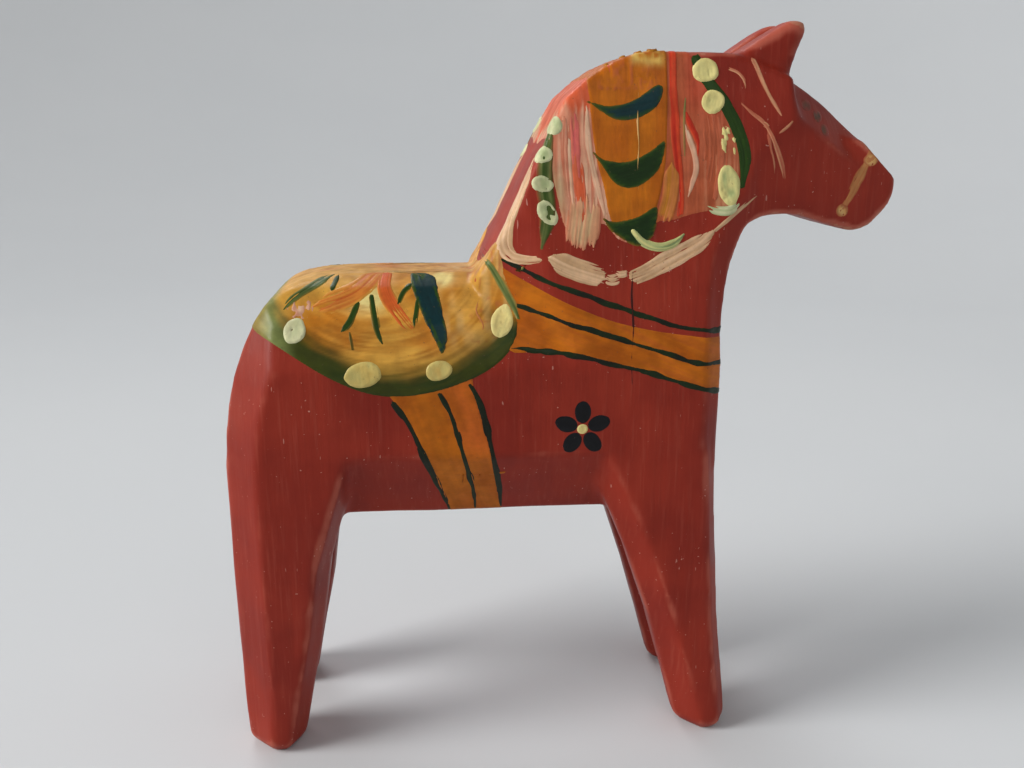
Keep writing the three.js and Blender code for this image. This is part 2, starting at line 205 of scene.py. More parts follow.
def wearOf(x, z, proud, normals, sideSeed):
    # 0 on flats and up to 1 where an edge stands proud of its smoothed neighbourhood
    rub = 0.75 + 0.5 * layers(x / 4 + sideSeed, z / 5, 41, 3)
    wearAndSheen = between(proud * rub, *wood["edgeProud"])
    # painted sheen: the facets that look back or forward and up are painted a little paler, where light from
    # the side and above would shine on them
    slanted = np.abs(normals[:, 1]) < 0.93
    paintedSheen = ease((0.8 * np.abs(normals[:, 0]) + 0.5 * normals[:, 2] - 0.3) / 0.5) * slanted
    wearAndSheen = np.maximum(wearAndSheen, wood["paintedSheen"] * paintedSheen * rub)
    # the sloping back of the head between the ears and the brow gets little of the wear and painted sheen, so
    # it stays darker
    brow = between(x, 21, 23) * between(z, 88, 90) * (normals[:, 2] < 0.8) * (z < 95.5)
    return wearAndSheen * (1 - 0.8 * brow)


def makeWood():
    # the remeshed block is hollowed, shaved and softened, and then each place moves out along its normal
    mesh = remeshBlock()
    thing = addObject("carvedHorse", mesh)
    pairs = neighbours(mesh)
    places = hollow(evaluated(thing)[0] / mm)
    for side in sides:
        places = shave(places, side)
    places = soften(places, pairs, wood["softRounds"], wood["softShare"])
    mesh.vertices.foreach_set("co", (places * mm).ravel())
    mesh.update()
    _, normals = evaluated(thing)
    x, y, z = places.T
    sideSeed = np.where(y < 0, 0.0, 31.0)  # so that the two sides aren't each other's mirror
    places = places + normals * unevenness(x, y, z, sideSeed)[:, None]
    places[:, 2] = np.maximum(places[:, 2], 0)
    mesh.vertices.foreach_set("co", (places * mm).ravel())
    mesh.polygons.foreach_set("use_smooth", np.full(len(mesh.polygons), True))
    mesh.update()
    smooth = soften(places, pairs, wood["edgeRounds"], wood["softShare"])
    # wear and painted sheen: pale on proud edges, and painted paler on the facets that look along the horse
    # and up
    wearAndSheen = wearOf(x, z, np.sum((places - smooth) * normals, 1), normals, sideSeed)
    mesh.attributes.new("wearAndSheen", "FLOAT", "POINT").data.foreach_set("value", wearAndSheen.astype(np.float32))
    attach(thing, "root")
    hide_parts("carved_block")
    print("wood:", len(mesh.polygons), "faces")
    return thing


def throughPoints(points, count):  # a smooth curve through given points (Catmull-Rom), evenly sampled
    p = np.array(points, float)
    p = np.concatenate([2 * p[:1] - p[1:2], p, 2 * p[-1:] - p[-2:-1]])
    t = np.linspace(0, 1, 24, endpoint=False)[:, None]
    runs = []
    for a, b, c, d in zip(p[:-3], p[1:-2], p[2:-1], p[3:]):
        runs.append(0.5 * (2 * b + (c - a) * t + (2 * a - 5 * b + 4 * c - d) * t ** 2
                           + (3 * b - a - 3 * c + d) * t ** 3))
    fine = np.concatenate(runs + [p[-2:-1]])
    length = np.concatenate([[0], np.cumsum(np.linalg.norm(np.diff(fine, axis=0), axis=1))])
    even = np.linspace(0, length[-1], count)
    return np.stack([np.interp(even, length, fine[:, k]) for k in range(2)], -1), length[-1]


# A film's place is given as on the side view: how far along the horse, and how high. Straight rays
# carry it in from the side. Past a wrap's spine, a line inside the wood, the rays swing round the
# spine, so that the film runs over the back, the crest, the nose or the chest. The section lists
# half-width and rise above the spine, up to the corner of the flat top, where a place counts on
# across the top and then down the far side.
wraps = dict(
    back=dict(spine=[(-60, 56), (-30, 56), (0, 56)], section=[(15, 0), (12.6, 5.8), (8.4, 9.8), (5.2, 11.2)]),
    crest=dict(
        edge=[(-11, 68), (-9.6, 73.5), (-7.2, 79.5), (-4.4, 84.5), (-2.6, 87.4), (0.3, 91), (3.8, 93.7),
              (7.3, 95.2), (10.6, 95.8), (16, 95.9), (22, 95.8), (26, 95.2)],
        section=[(10, 0), (9, 5.3), (7, 7.5)],
    ),
    nose=dict(
        edge=[(24, 95.4), (28.4, 93.6), (32.4, 91.6), (36.4, 88.8), (40, 85.8), (43.8, 82.5), (47, 79.5)],
        section=[(7, 0), (6.8, 2.8), (4.8, 5)],
    ),
    chest=dict(spine=[(8, 78), (8, 60), (8, 30)], section=[(15, 0), (15, 10), (12.5, 12.6)]),
)
reach = 24.0  # how far out the rays start


def spineOf(wrap):  # evenly spaced points of the spine, and the direction out of it at each
    known = wraps[wrap]
    spine, _ = throughPoints(known.get("spine", known.get("edge")), 90)
    tangent = np.gradient(spine, axis=0)
    tangent /= np.linalg.norm(tangent, axis=1)[:, None]
    out = np.stack([-tangent[:, 1], tangent[:, 0]], -1)
    if "edge" in known:  # the spine lies as deep below the edge as the section rises
        spine = spine - out * known["section"][-1][1]
    return spine, out


def middleOf(wrap):  # the place, above the spine, that lies on the centre plane
    corner = wraps[wrap]["section"][-1]
    return corner[0] + corner[1]


def swing(wrap, rise):  # angle of the ray, and how far below the spine its straight part starts
    section = np.array(wraps[wrap]["section"], float)
    middle = middleOf(wrap)
    folded = np.minimum(rise, 2 * middle - rise)
    high = np.clip(folded, 0, section[-1, 1])
    wide = np.interp(high, section[:, 1], section[:, 0]) - np.maximum(folded - section[-1, 1], 0)
    angle = np.arctan2(high, wide)
    return np.where(rise > middle, np.pi - angle, angle), np.minimum(folded, 0)


def shellPoint(x, z, side, wrap):
    # with no wrap the shell is a flat wall at reach; with one, every place past the spine is swung out
    if wrap is None:
        return np.stack([x, np.full(x.shape, side * reach), z], -1)
    spine, out = spineOf(wrap)
    far = np.full(x.shape, 1e9)
    pick = np.zeros(x.shape, int)
    for index, (sx, sz) in enumerate(spine):
        away = (x - sx) ** 2 + (z - sz) ** 2
        pick = np.where(away < far, index, pick)
        far = np.minimum(far, away)
    # between two spine points, the outward direction is mixed by where the foot of the place lies
    along = np.stack([out[:, 1], -out[:, 0]], -1)
    step = np.linalg.norm(spine[1] - spine[0])
    offset = ((x - spine[pick, 0]) * along[pick, 0] + (z - spine[pick, 1]) * along[pick, 1]) / step
    place = np.clip(pick + offset, 0, len(spine) - 1)
    count = np.arange(len(spine))
    n = np.stack([np.interp(place, count, out[:, k]) for k in range(2)], -1)
    n /= np.linalg.norm(n, axis=-1, keepdims=True)
    foot = np.stack([np.interp(place, count, spine[:, k]) for k in range(2)], -1)
    rise = (x - foot[..., 0]) * n[..., 0] + (z - foot[..., 1]) * n[..., 1]
    angle, drop = swing(wrap, rise)
    move = reach * np.sin(angle) + drop - rise
    return np.stack([x + n[..., 0] * move, side * reach * np.cos(angle), z + n[..., 1] * move], -1)


def riseOver(x, z, wrap):  # how far each place lies above the spine, by its nearest point of the spine
    spine, out = spineOf(wrap)
    above = np.full(x.shape, -1e9)
    far = np.full(x.shape, 1e9)
    for (sx, sz), (nx, nz) in zip(spine, out):
        away = (x - sx) ** 2 + (z - sz) ** 2
        above = np.where(away < far, (x - sx) * nx + (z - sz) * nz, above)
        far = np.minimum(far, away)
    return above


def saddlebag(wrap, low, start, end, step):
    # a grid that hangs down both sides: shell places, and the side-view places they stand for
    spine, out = spineOf(wrap)
    length = np.linalg.norm(np.diff(spine, axis=0), axis=1).sum()
    middle = middleOf(wrap)
    run = np.linspace(start, end, int((end - start) * length / step) + 1) * (len(spine) - 1)
    rise = np.linspace(low, 2 * middle - low, int(2 * (middle - low) / step) + 1)
    count = np.arange(len(spine))
    foot = np.stack([np.interp(run, count, spine[:, k]) for k in range(2)], -1)[:, None]
    n = np.stack([np.interp(run, count, out[:, k]) for k in range(2)], -1)[:, None]
    rise = np.broadcast_to(rise[None], (len(run), len(rise)))
    angle, drop = swing(wrap, rise)
    flat = foot + n * (reach * np.sin(angle) + drop)[..., None]
    shell = np.stack([flat[..., 0], -reach * np.cos(angle), flat[..., 1]], -1)
    seen = foot + n * np.minimum(rise, 2 * middle - rise)[..., None]
    return shell, seen[..., 0], seen[..., 1], rise > middle


films = []  # what has been drawn, laid all together at the end


def film(name, nodes, slot, shell, lift, colour, finish):
    # lift is the height of the paint above the wood on the grid, in mm: where it is below zero the
    # wood shows, so ragged and broken strokes come from the height alone
    films.append(dict(name=name, nodes=nodes, slot=slot, shell=shell, lift=lift, colour=colour,
                      finish=finish))


def gridQuads(rows, columns, flip):  # the four corners of every cell of a grid, counted along its rows
    index = np.arange(rows * columns).reshape(rows, columns)
    quads = np.stack([index[:-1, :-1], index[1:, :-1], index[1:, 1:], index[:-1, 1:]], -1).reshape(-1, 4)
    return quads[:, ::-1] if flip else quads


def turnsInward(shell):  # whether the grid's own order turns its faces towards the centre plane
    across = np.cross(shell[1:, :-1] - shell[:-1, :-1], shell[:-1, 1:] - shell[:-1, :-1])
    return np.sum(across[..., 1] * shell[:-1, :-1, 1]) < 0


def layFilms(block):
    # 1 all the shells as one mesh, carried in along their normals until they meet the wood
    start, parts, quads = 0, [], []
    for one in films:
        rows, columns = one["lift"].shape
        one["flip"] = turnsInward(one["shell"])
        one["span"] = slice(start, start + rows * columns)
        quads.append(gridQuads(rows, columns, one["flip"]) + start)
        parts.append(one["shell"].reshape(-1, 3) * mm)
        start += rows * columns
    shells = addObject("shells", newMesh("shells", np.concatenate(parts), np.concatenate(quads)))
    lay = shells.modifiers.new("lay", "SHRINKWRAP")
    lay.target = block
    lay.wrap_method = "PROJECT"
    lay.use_negative_direction = True
    lay.use_positive_direction = False
    places, _ = evaluated(shells)
    # rays that passed the wood by are brought to its nearest point
    stray = np.linalg.norm(places - np.concatenate(parts), axis=1) < 1e-5
    lay.wrap_method = "NEAREST_SURFACEPOINT"
    nearest, _ = evaluated(shells)
    places[stray] = nearest[stray]
    shells.modifiers.clear()
    shells.data.vertices.foreach_set("co", places.ravel().astype(np.float32))
    shells.data.update()
    _, normals = evaluated(shells)
    bpy.data.objects.remove(shells)
    # 2 each film: its upper face stands lift above the wood, its lower face lies sunk in the wood
    for one in films:
        rows, columns = one["lift"].shape
        count = rows * columns
        base, out = places[one["span"]] / mm, normals[one["span"]]
        lift = one["lift"].ravel()
        top = gridQuads(rows, columns, one["flip"])
        top = top[(lift[top] > bare + 0.01).any(1)]
        edges = np.concatenate([np.roll(top, -k, 1)[:, :2] for k in range(4)])
        key = np.sort(edges, 1)
        _, first, uses = np.unique(key[:, 0] * count + key[:, 1], return_index=True, return_counts=True)
        rim = edges[first[uses == 1]]
        wall = np.stack([rim[:, 1], rim[:, 0], rim[:, 0] + count, rim[:, 1] + count], -1)
        quads = np.concatenate([top, top[:, ::-1] + count, wall])
        used = np.unique(quads)
        renumber = np.zeros(2 * count, np.int64)
        renumber[used] = np.arange(len(used))
        verts = np.concatenate([base + out * lift[:, None], base - out * sunk])[used]
        mesh = newMesh(one["name"], verts * mm, renumber[quads])
        paint = mesh.attributes.new("paint", "FLOAT_COLOR", "POINT")
        shade = np.ones((2 * count, 4), np.float32)
        shade[:, :3] = np.tile(np.broadcast_to(one["colour"], (rows, columns, 3)).reshape(-1, 3), (2, 1))
        paint.data.foreach_set("color", shade[used].ravel())
        piece = addObject(one["name"], mesh)
        mesh.materials.append(finishes[one["finish"]])
        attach(piece, "root")
        if one["nodes"]:
            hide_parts(*one["nodes"])
    print("films:", len(films), "pieces,", start, "grid points")


colours = dict(
    wood=linear(146, 44, 28), yellow=linear(188, 106, 14), orange=linear(166, 83, 7),
    ochre=linear(184, 118, 34), straw=linear(204, 152, 62), tan=linear(206, 162, 96),
    green=linear(56, 62, 8), greyGreen=linear(116, 126, 70), dullGreen=linear(116, 126, 70) * 0.8,
    leaf=linear(38, 64, 14), deepLeaf=linear(38, 64, 14) * 0.8, darkGreen=linear(22, 44, 12),
    dark=linear(20, 24, 12), teal=linear(8, 42, 46), sage=linear(42, 46, 22), ink=linear(14, 14, 18),
    cream=linear(222, 208, 138), putty=linear(194, 178, 108), pale=linear(208, 206, 164),
    paleGreen=linear(138, 158, 106), white=linear(216, 180, 150), buff=linear(204, 168, 126),
    rosy=linear(198, 112, 84), magenta=linear(204, 92, 92), red=linear(182, 36, 20),
    coral=linear(206, 84, 44), rust=linear(188, 88, 32), brick=linear(170, 82, 50), crack=linear(60, 16, 12),
)
strokeStep = 0.13  # grid spacing of strokes
bare = -0.1  # where a film has no paint, it dips this far into the wood
sunk = 0.3  # and its underside lies this far in
paintHeight = 0.62  # how thick the paint dried, against how it was laid


def paintLift(inside, thick, base=0.0, edge=0.2):
    # inside is the distance in from the stroke's outline, in mm; the paint rises over an edge that wide
    return bare + (paintHeight * (base + thick) - bare) * ease(inside / edge * 0.5 + 0.5)


def brush(name, nodes, slot, points, width, colour, side=-1, wrap=None, finish=None, taper=(0.4, 0.3),
          thick=0.09, base=0.0, dry=(0.0, 0.0), fray=(0.3, 0.3), seed=1, mix=None, mixShare=0.5, wobble=0.08,
          thin=0.0, under=None):
    # a ribbon along a smooth curve. Half-width = width/2 times an eased rise from taper[0] and fall to
    # taper[1]; hairs run along it. dry is how gappy it is towards each end, fray how unevenly its hairs
    # stop there in mm, thin how much the wood's red shows through. under is the wet colour it was drawn
    # over, which its edges take up
    walked = np.hypot(*np.diff(np.array(points), axis=0).T).sum()
    count = int(len(points) * 4 + walked / strokeStep)
    spine, length = throughPoints(points, count)
    s = np.linspace(0, 1, count)[:, None]
    margin = 0.35
    columns = max(9, int((width + 2 * margin) / strokeStep) + 1)
    t = np.linspace(-1, 1, columns)[None] * (width / 2 + margin)
    tangent = np.gradient(spine, axis=0)
    tangent /= np.linalg.norm(tangent, axis=1)[:, None]
    grow = margin / length
    sFull = (s - 0.5) * (1 + 2 * grow) + 0.5  # the grid runs a little past both ends
    past = np.clip(-sFull, 0, 1) * length, np.clip(sFull - 1, 0, 1) * length
    inner = np.clip(sFull, 0, 1)[:, 0] * (count - 1)
    place = np.stack([np.interp(inner, np.arange(count), spine[:, k]) for k in range(2)], -1)
    place = place - past[0] * tangent[0] + past[1] * tangent[-1]
    direction = np.stack([np.interp(inner, np.arange(count), tangent[:, k]) for k in range(2)], -1)
    across = np.stack([-direction[:, 1], direction[:, 0]], -1)
    grid = place[:, None] + across[:, None] * t[..., None]
    rise = taper[0] + (1 - taper[0]) * ease(sFull * 3.5)
    fall = taper[1] + (1 - taper[1]) * ease((1 - sFull) * 3.5)
    run = sFull * length
    half = width / 2 * np.minimum(rise, fall) * (1 + wobble * noise(run / 1.7 + seed, run * 0, seed))
    hair = noise(t / 0.15 + 50 + run * 0.04, run / 7 + seed, seed + 1)
    stop = [(0.5 + 0.5 * noise(t / 0.16 + 9 * k, run / 5, seed + 5 + k)) * fray[k] for k in range(2)]
    tip = 0.4 * half - 0.5 * np.abs(t)
    inside = np.minimum(half - np.abs(t), np.minimum(run - stop[0], length - run - stop[1]) + tip)
    edge = ease(0.25 + 1.5 * inside / np.maximum(half, 0.2) + 0.3 * hair)
    gappy = dry[0] * (1 - ease(sFull * 1.5)) + dry[1] * (1 - ease((1 - sFull) * 1.5))
    load = 1.9 + 1.3 * hair + 0.5 * noise(t / 0.13, run / 0.9 + seed, seed + 3) - 3.0 * gappy
    inside = np.minimum(inside, 0.12 * load)
    body = 0.65 + 0.35 * (1 - (t / np.maximum(half, 0.1)).clip(-1, 1) ** 2) + 0.25 * hair
    lift = paintLift(inside, thick * body, base)
    shade = np.broadcast_to(colours[colour], grid.shape[:2] + (3,))
    if mix:
        shade = blend(shade, colours[mix], mixShare * ease(0.5 + 0.7 * hair))
    shade = shade * (1 + 0.12 * hair)[..., None]
    if under:
        shade = blend(colours[under], shade, edge)
    if thin:
        shade = blend(shade, colours["wood"], np.clip(thin * (1.2 - load / 2.4 + gappy), 0, 0.9))
    film(name, nodes, slot, shellPoint(grid[..., 0], grid[..., 1], side, wrap), lift, shade, finish)


def patch(x0, x1, z0, z1, step):  # a level grid of the side view
    x = np.linspace(x0, x1, max(5, int((x1 - x0) / step) + 1))
    z = np.linspace(z0, z1, max(5, int((z1 - z0) / step) + 1))
    return np.meshgrid(x, z, indexing="ij")


def dab(name, nodes, slot, centre, size, colour, side=-1, wrap=None, finish=None, lean=0.0, thick=0.16,
        base=0.0, dry=0.0, seed=1, mix=None, mixShare=0.3, soft=0.0):
    # an ellipse pressed down with a round brush: raised at its rim where the paint was pushed out;
    # dry opens gaps in it, soft lets its colour run out to the wood's red at the rim
    a, b = size[0] / 2, size[1] / 2
    edge = max(a, b) + 0.4
    x, z = patch(centre[0] - edge, centre[0] + edge, centre[1] - edge, centre[1] + edge, strokeStep)
    c, s = np.cos(lean), np.sin(lean)
    u, v = (x - centre[0]) * c + (z - centre[1]) * s, (z - centre[1]) * c - (x - centre[0]) * s
    r = np.hypot(u / a, v / b) + 0.06 * noise(u / 0.9 + seed, v / 0.9, seed)
    streak = noise(u / 0.16 + 30, v / 1.8 + seed, seed + 1)
    blot = noise(u / 0.42 + seed, v / 0.6, seed + 2) + 0.5 * noise(u / 0.2, v / 0.5 + seed, seed + 3)
    inside = np.minimum((1 - r) * min(a, b), 0.2 * (1.6 + 1.1 * blot - 1.6 * dry))
    body = 0.6 + 0.55 * np.exp(-((r - 0.72) / 0.2) ** 2) + 0.16 * streak
    tone = np.clip(0.5 + 0.6 * noise(u / 0.5, v / 1.2, seed + 4), 0, 1)
    shade = np.broadcast_to(colours[colour], x.shape + (3,))
    if mix:
        shade = blend(shade, colours[mix], mixShare * tone * ease(1.3 - r * 0.9))
    shade = blend(shade, colours["wood"], soft * ease(r * 1.1 - 0.1 + 0.3 * blot))
    shade = shade * (1 + 0.05 * streak)[..., None]
    lift = paintLift(inside, thick * body, base)
    film(name, nodes, slot, shellPoint(x, z, side, wrap), lift, shade, finish)


def insideOutline(x, z, points, count=160):
    # distance in from a smooth closed outline: nearest of its short chords, signed by the winding angle
    loop, _ = throughPoints(list(points) + [points[0]], count)
    p = np.stack([x.ravel(), z.ravel()], -1)
    nearest = np.full(len(p), 1e9)
    winding = np.zeros(len(p))
    for start, end in zip(loop[:-1], loop[1:]):
        chord, toPoint = end - start, p - start
        share = np.clip(toPoint @ chord / (chord @ chord + 1e-12), 0, 1)
        nearest = np.minimum(nearest, np.hypot(*(toPoint - share[:, None] * chord).T))
        toEnd = p - end
        winding += np.arctan2(toPoint[:, 0] * toEnd[:, 1] - toPoint[:, 1] * toEnd[:, 0],
                              np.sum(toPoint * toEnd, 1))
    return np.where(np.abs(winding) > np.pi, nearest, -nearest).reshape(x.shape)


def press(name, nodes, slot, outline, colour, second, side=-1, wrap="crest", along=(1, 0.25), base=0.19,
          seed=1, finish=None, hairy=0.35):
    # one loaded press of a flat brush inside an outline: deep where it lay, green and soft along the edge,
    # with hairs running along a direction
    points = np.array(outline)
    (x0, z0), (x1, z1) = points.min(0) - 0.6, points.max(0) + 0.6
    x, z = patch(x0, x1, z0, z1, strokeStep)
    inside = insideOutline(x, z, outline, 80) + 0.15
    across = (z * along[0] - x * along[1]) / np.hypot(*along)
    hair = noise(across / 0.2, (x * along[0] + z * along[1]) / 3 + seed, seed)
    hair = hair + 0.5 * noise(x / 0.3, z / 0.3, seed + 1)
    share = (x - x0) / (x1 - x0)
    deep = ease(inside / 0.9 + 0.35 * (share - 0.4) + hairy * hair)
    rim = blend(colours[second] * 1.2, colours["ochre"] * 0.7, 0.6 * ease(0.8 - inside / 0.5))
    shade = blend(rim, colours[colour], deep)
    shade = shade * (1 + 0.16 * hair)[..., None]
    ragged = inside - 0.05 * np.abs(hair) - 0.12 * hairy * np.maximum(hair, 0)
    lift = paintLift(ragged, 0.05 + 0.02 * hair, base)
    film(name, nodes, slot, shellPoint(x, z, side, wrap), lift, shade, finish)


def oneSide(maker, side, name, nodes=(), seed=1, apart=37, **more):
    # one stroke on one side: its name and its nodes' names take the side's word, and its noise another seed
    word = sides[side]
    maker(f"{name}_{word}", [node.format(word) for node in nodes], side=side, seed=seed + apart * (side > 0),
          **more)


def bothSides(maker, **stroke):  # the same work on the right and the left
    for side in sides:
        oneSide(maker, side, **stroke)


def drawRows(maker, fields, rows, seed, seedStep=1, numbered=None, **shared):
    # one stroke for each row of a table: fields names its columns, numbered names its pieces and nodes
    # by their number, and the rest is what all the rows share
    for number, row in enumerate(rows):
        stroke = dict(zip(fields.split(), row), seed=seed + seedStep * number, **shared)
        if numbered:
            name, node = numbered
            stroke.update(name=f"{name}{number + 1}", nodes=[f"{node}_{number + 1}_{{}}"])
        bothSides(maker, **stroke)


saddle = dict(
    outline=[(-42, 63.4), (-40.9, 61.5), (-38.2, 59.5), (-29.3, 54.2), (-23.6, 52.6), (-18.5, 53),
             (-13.3, 54.6), (-8.9, 57.3), (-6.9, 60.4), (-7.3, 63.4), (-9.2, 66.6), (-10.7, 68.5),
             (-11.4, 72), (-11.6, 82), (-26, 86), (-41, 82), (-43, 70)],
    hang=-5, run=(0.27, 0.9), step=0.22,  # how far down the grid hangs, its stretch of the back
    thick=0.1, base=0.06,
    rim=(1.5, 3.6), rearRim=2.6,  # full width and fade of the green edge, more at the rear
    centre=(-24.5, 74),  # the brush went round this point
    glow=[(-26.2, 64.6, 2.6, 1.5, 1.1), (-16.6, 66.6, 1.6, 0.8, 1)],  # creamy spots: place, size, sharpness
)


def makeSaddle():
    # one film over the back: ochre, straw and cream by broad noise, with streaks that run round the centre
    shell, x, z, far = saddlebag("back", saddle["hang"], *saddle["run"], saddle["step"])
    inside = insideOutline(x, z, saddle["outline"], 90)
    side = np.where(far, 60.0, 0.0)
    dx, dz = x - saddle["centre"][0], z - saddle["centre"][1]
    ring, turn = np.hypot(dx, dz * 1.05), np.arctan2(dz, dx)
    streak = noise(ring / 0.3 + side, turn * 4, 11) + 0.6 * noise(ring / 0.7, turn * 6 + side, 12)
    daub = layers(x / 3.5 + side, z / 2.4, 14, 3)
    broad = layers(x / 6 + side, z / 4 + 3, 17, 2)
    shade = blend(colours["ochre"], colours["straw"], ease(0.45 + 0.7 * broad + 0.25 * streak))
    shade = blend(shade, colours["yellow"], 0.6 * ease(0.1 - broad + 0.6 * daub))
    high = between(z - 2 * daub, 60, 66)  # paler up on the back
    shade = blend(shade, colours["straw"], 0.75 * high * ease(0.55 + 0.8 * noise(x / 4 + side, z / 3, 15)))
    front = between(x, -19, -14) * between(z, 57, 61)
    shade = blend(shade, colours["tan"], 0.75 * front * ease(0.45 + 0.7 * noise(x / 0.9, z / 2.2 + side, 16)))
    cream = sum(np.exp(-(((x - cx) / wide) ** 2 + ((z - cz) / tall) ** 2) * sharp)
                for cx, cz, wide, tall, sharp in saddle["glow"])
    shade = blend(shade, colours["cream"], np.clip(1.1 * cream * (1 + 0.3 * streak), 0, 0.85))
    scuff = noise(x / 0.5 + side, z / 0.6, 18) * between(x, -15, -12) * between(z, 57, 60)
    shade = blend(shade, colours["brick"], 0.5 * ease(2.2 * scuff - 0.6))
    # the green rim is brushed in while wet, so it fades inward, and it thins out up the back and the front
    near, deep = saddle["rim"]
    near = near + saddle["rearRim"] * between(x, -36.5, -40.5)
    rim = 1 - ease((inside - near - 0.6 * daub) / deep + 0.12 * streak)
    rim = rim * (1 - between(z, 64.5, 66.5) * between(x, -38, -35)) * (1 - 0.35 * between(x, -38, -41))
    rim = rim * (1 - 0.85 * between(z - daub, 60.5, 63.5) * between(x, -16, -12))
    green = blend(colours["green"], colours["greyGreen"], between(x, -35, -38))
    low = ease(0.3 + streak) * between(x, -34, -30) * ease(1.6 - inside / 2)
    green = blend(green, colours["darkGreen"], 0.5 * low)
    shade = blend(shade, green, rim) * (1 + 0.09 * streak)[..., None]
    lift = paintLift(inside, saddle["thick"] * (1 + 0.22 * streak + 0.15 * daub), saddle["base"])
    film("saddleCloth", ["saddle_cloth"], "yellow_paint", shell, lift, shade, "saddle")


saddleDots = dict(
    fields="centre size lean colour mix dry",
    rows=[
        ((-35.6, 61.0), (2.9, 3.2), -0.6, "pale", "paleGreen", 0.25),
        ((-27, 55.6), (4.9, 3.3), 0.15, "putty", "straw", 0),
        ((-17.3, 55.9), (3.7, 2.6), 0.2, "putty", "ochre", 0),
        ((-8.9, 61.7), (3.0, 3.9), -0.35, "cream", "tan", 0),
    ],
    numbered=("saddleDot", "saddle_dot"), slot="cream_paint", seed=100, wrap="back", base=0.19, thick=0.15,
    mixShare=0.35, finish="cream",
)
fadedRing = dict(
    name="fadedRing", slot="cream_paint", centre=(-35.0, 63.6), size=(3.6, 2.6), colour="white", wrap="back",
    base=0.19, thick=0.05, dry=0.8, soft=0.4, seed=108, finish="cream", mix="rosy", mixShare=0.5,
)
saddleLeaf = dict(
    name="saddleLeaf", nodes=["saddle_leaf_{}"], slot="dark_paint",
    outline=[(-20.7, 66.9), (-20.3, 67.4), (-17.9, 67), (-17.3, 66.3), (-17, 64.8), (-16.2, 60.8),
             (-16.2, 59.4), (-16.8, 58), (-17.5, 59.3), (-19.1, 62.4), (-20.5, 65.6)],
    colour="teal", second="leaf", wrap="back", along=(0.42, -0.91), base=0.19, seed=119, finish="stroke",
    hairy=1.0,
)
withersLine = dict(
    name="withersLine", slot="green_paint", points=[(-6.7, 61.9), (-7.5, 64), (-9.7, 68), (-11, 69.7)],
    width=1.3, colour="greyGreen", taper=(0.4, 0.7), base=0.19, thick=0.05, dry=(0.1, 0.1), seed=140,
    mix="leaf", mixShare=0.8, finish="stroke", under="ochre",
)
saddleStrokes = dict(
    fields="name slot points width colour mix taper dry",
    rows=[
        ("longOrangeStroke", "orange_paint",
         [(-24.6, 67.9), (-26.2, 66.5), (-28, 65.3), (-30, 64.5), (-33.6, 63.4)],
         2.7, "rust", "straw", (0.8, 0.35), (0, 0.4)),
        ("orangeLeaf", "orange_paint", [(-23.9, 67.7), (-24.2, 65.8), (-23, 63.6), (-20.1, 60.4)],
         2.2, "rust", "coral", (0.8, 0.15), (0, 0.3)),
        ("greenBlade1", "green_paint", [(-37.6, 63), (-35.6, 64.9), (-30.8, 67.4)],
         1.2, "leaf", "greyGreen", (0.2, 0.4), (0, 0.3)),
        ("greenBlade2", "green_paint", [(-31.2, 65.4), (-30.8, 66.2), (-30.3, 67.2)],
         0.9, "leaf", "darkGreen", (0.6, 0.5), (0, 0)),
        ("greenBlade3", "green_paint", [(-30, 60.6), (-28.6, 62), (-27.5, 64.4)],
         1.0, "leaf", "darkGreen", (0.1, 0.7), (0, 0.3)),
        ("greenBlade4", "green_paint", [(-25.9, 65.1), (-25, 60.8), (-24.2, 58.8)],
         1.1, "leaf", "darkGreen", (0.8, 0.1), (0, 0.25)),
        ("greenBlade5", "green_paint", [(-22.5, 63.6), (-21.6, 65.3), (-20.2, 66.3)],
         0.9, "leaf", "darkGreen", (0.6, 0.3), (0, 0.2)),
        ("greenBlade6", "green_paint", [(-20.4, 61), (-20, 63), (-19.6, 65)],
         0.9, "leaf", "darkGreen", (0.1, 0.6), (0, 0.2)),
        ("faintBlade", "green_paint", [(-28.7, 61.2), (-28.3, 59), (-28.1, 57.4)],
         0.6, "green", "ochre", (0.3, 0.2), (0, 0.4)),
        ("thinLine", "green_paint", [(-24.2, 68.4), (-22, 67.6), (-20, 67.1), (-18.6, 66.6)],
         0.4, "leaf", "ochre", (0.5, 0.6), (0, 0.3)),
        ("backLine", "green_paint", [(-26, 70), (-20, 68.2), (-14, 68)],
         0.35, "leaf", "ochre", (0.4, 0.4), (0, 0.4)),
        ("frontScratch", "orange_paint", [(-11.6, 64.6), (-12.2, 63), (-11.4, 61.4), (-11.9, 59.6)],
         0.4, "brick", "tan", (0.4, 0.4), (0, 0.4)),
    ],
    seed=120, wrap="back", base=0.19, thick=0.06, mixShare=0.5, finish="stroke", under="straw",
)


def makeSaddleMarks():
    # dots pressed on with a round brush, then a leaf and strokes flicked with a pointed one
    drawRows(dab, **saddleDots)
    bothSides(dab, **fadedRing)
    bothSides(press, **saddleLeaf)
    bothSides(brush, **withersLine)
    drawRows(brush, **saddleStrokes)


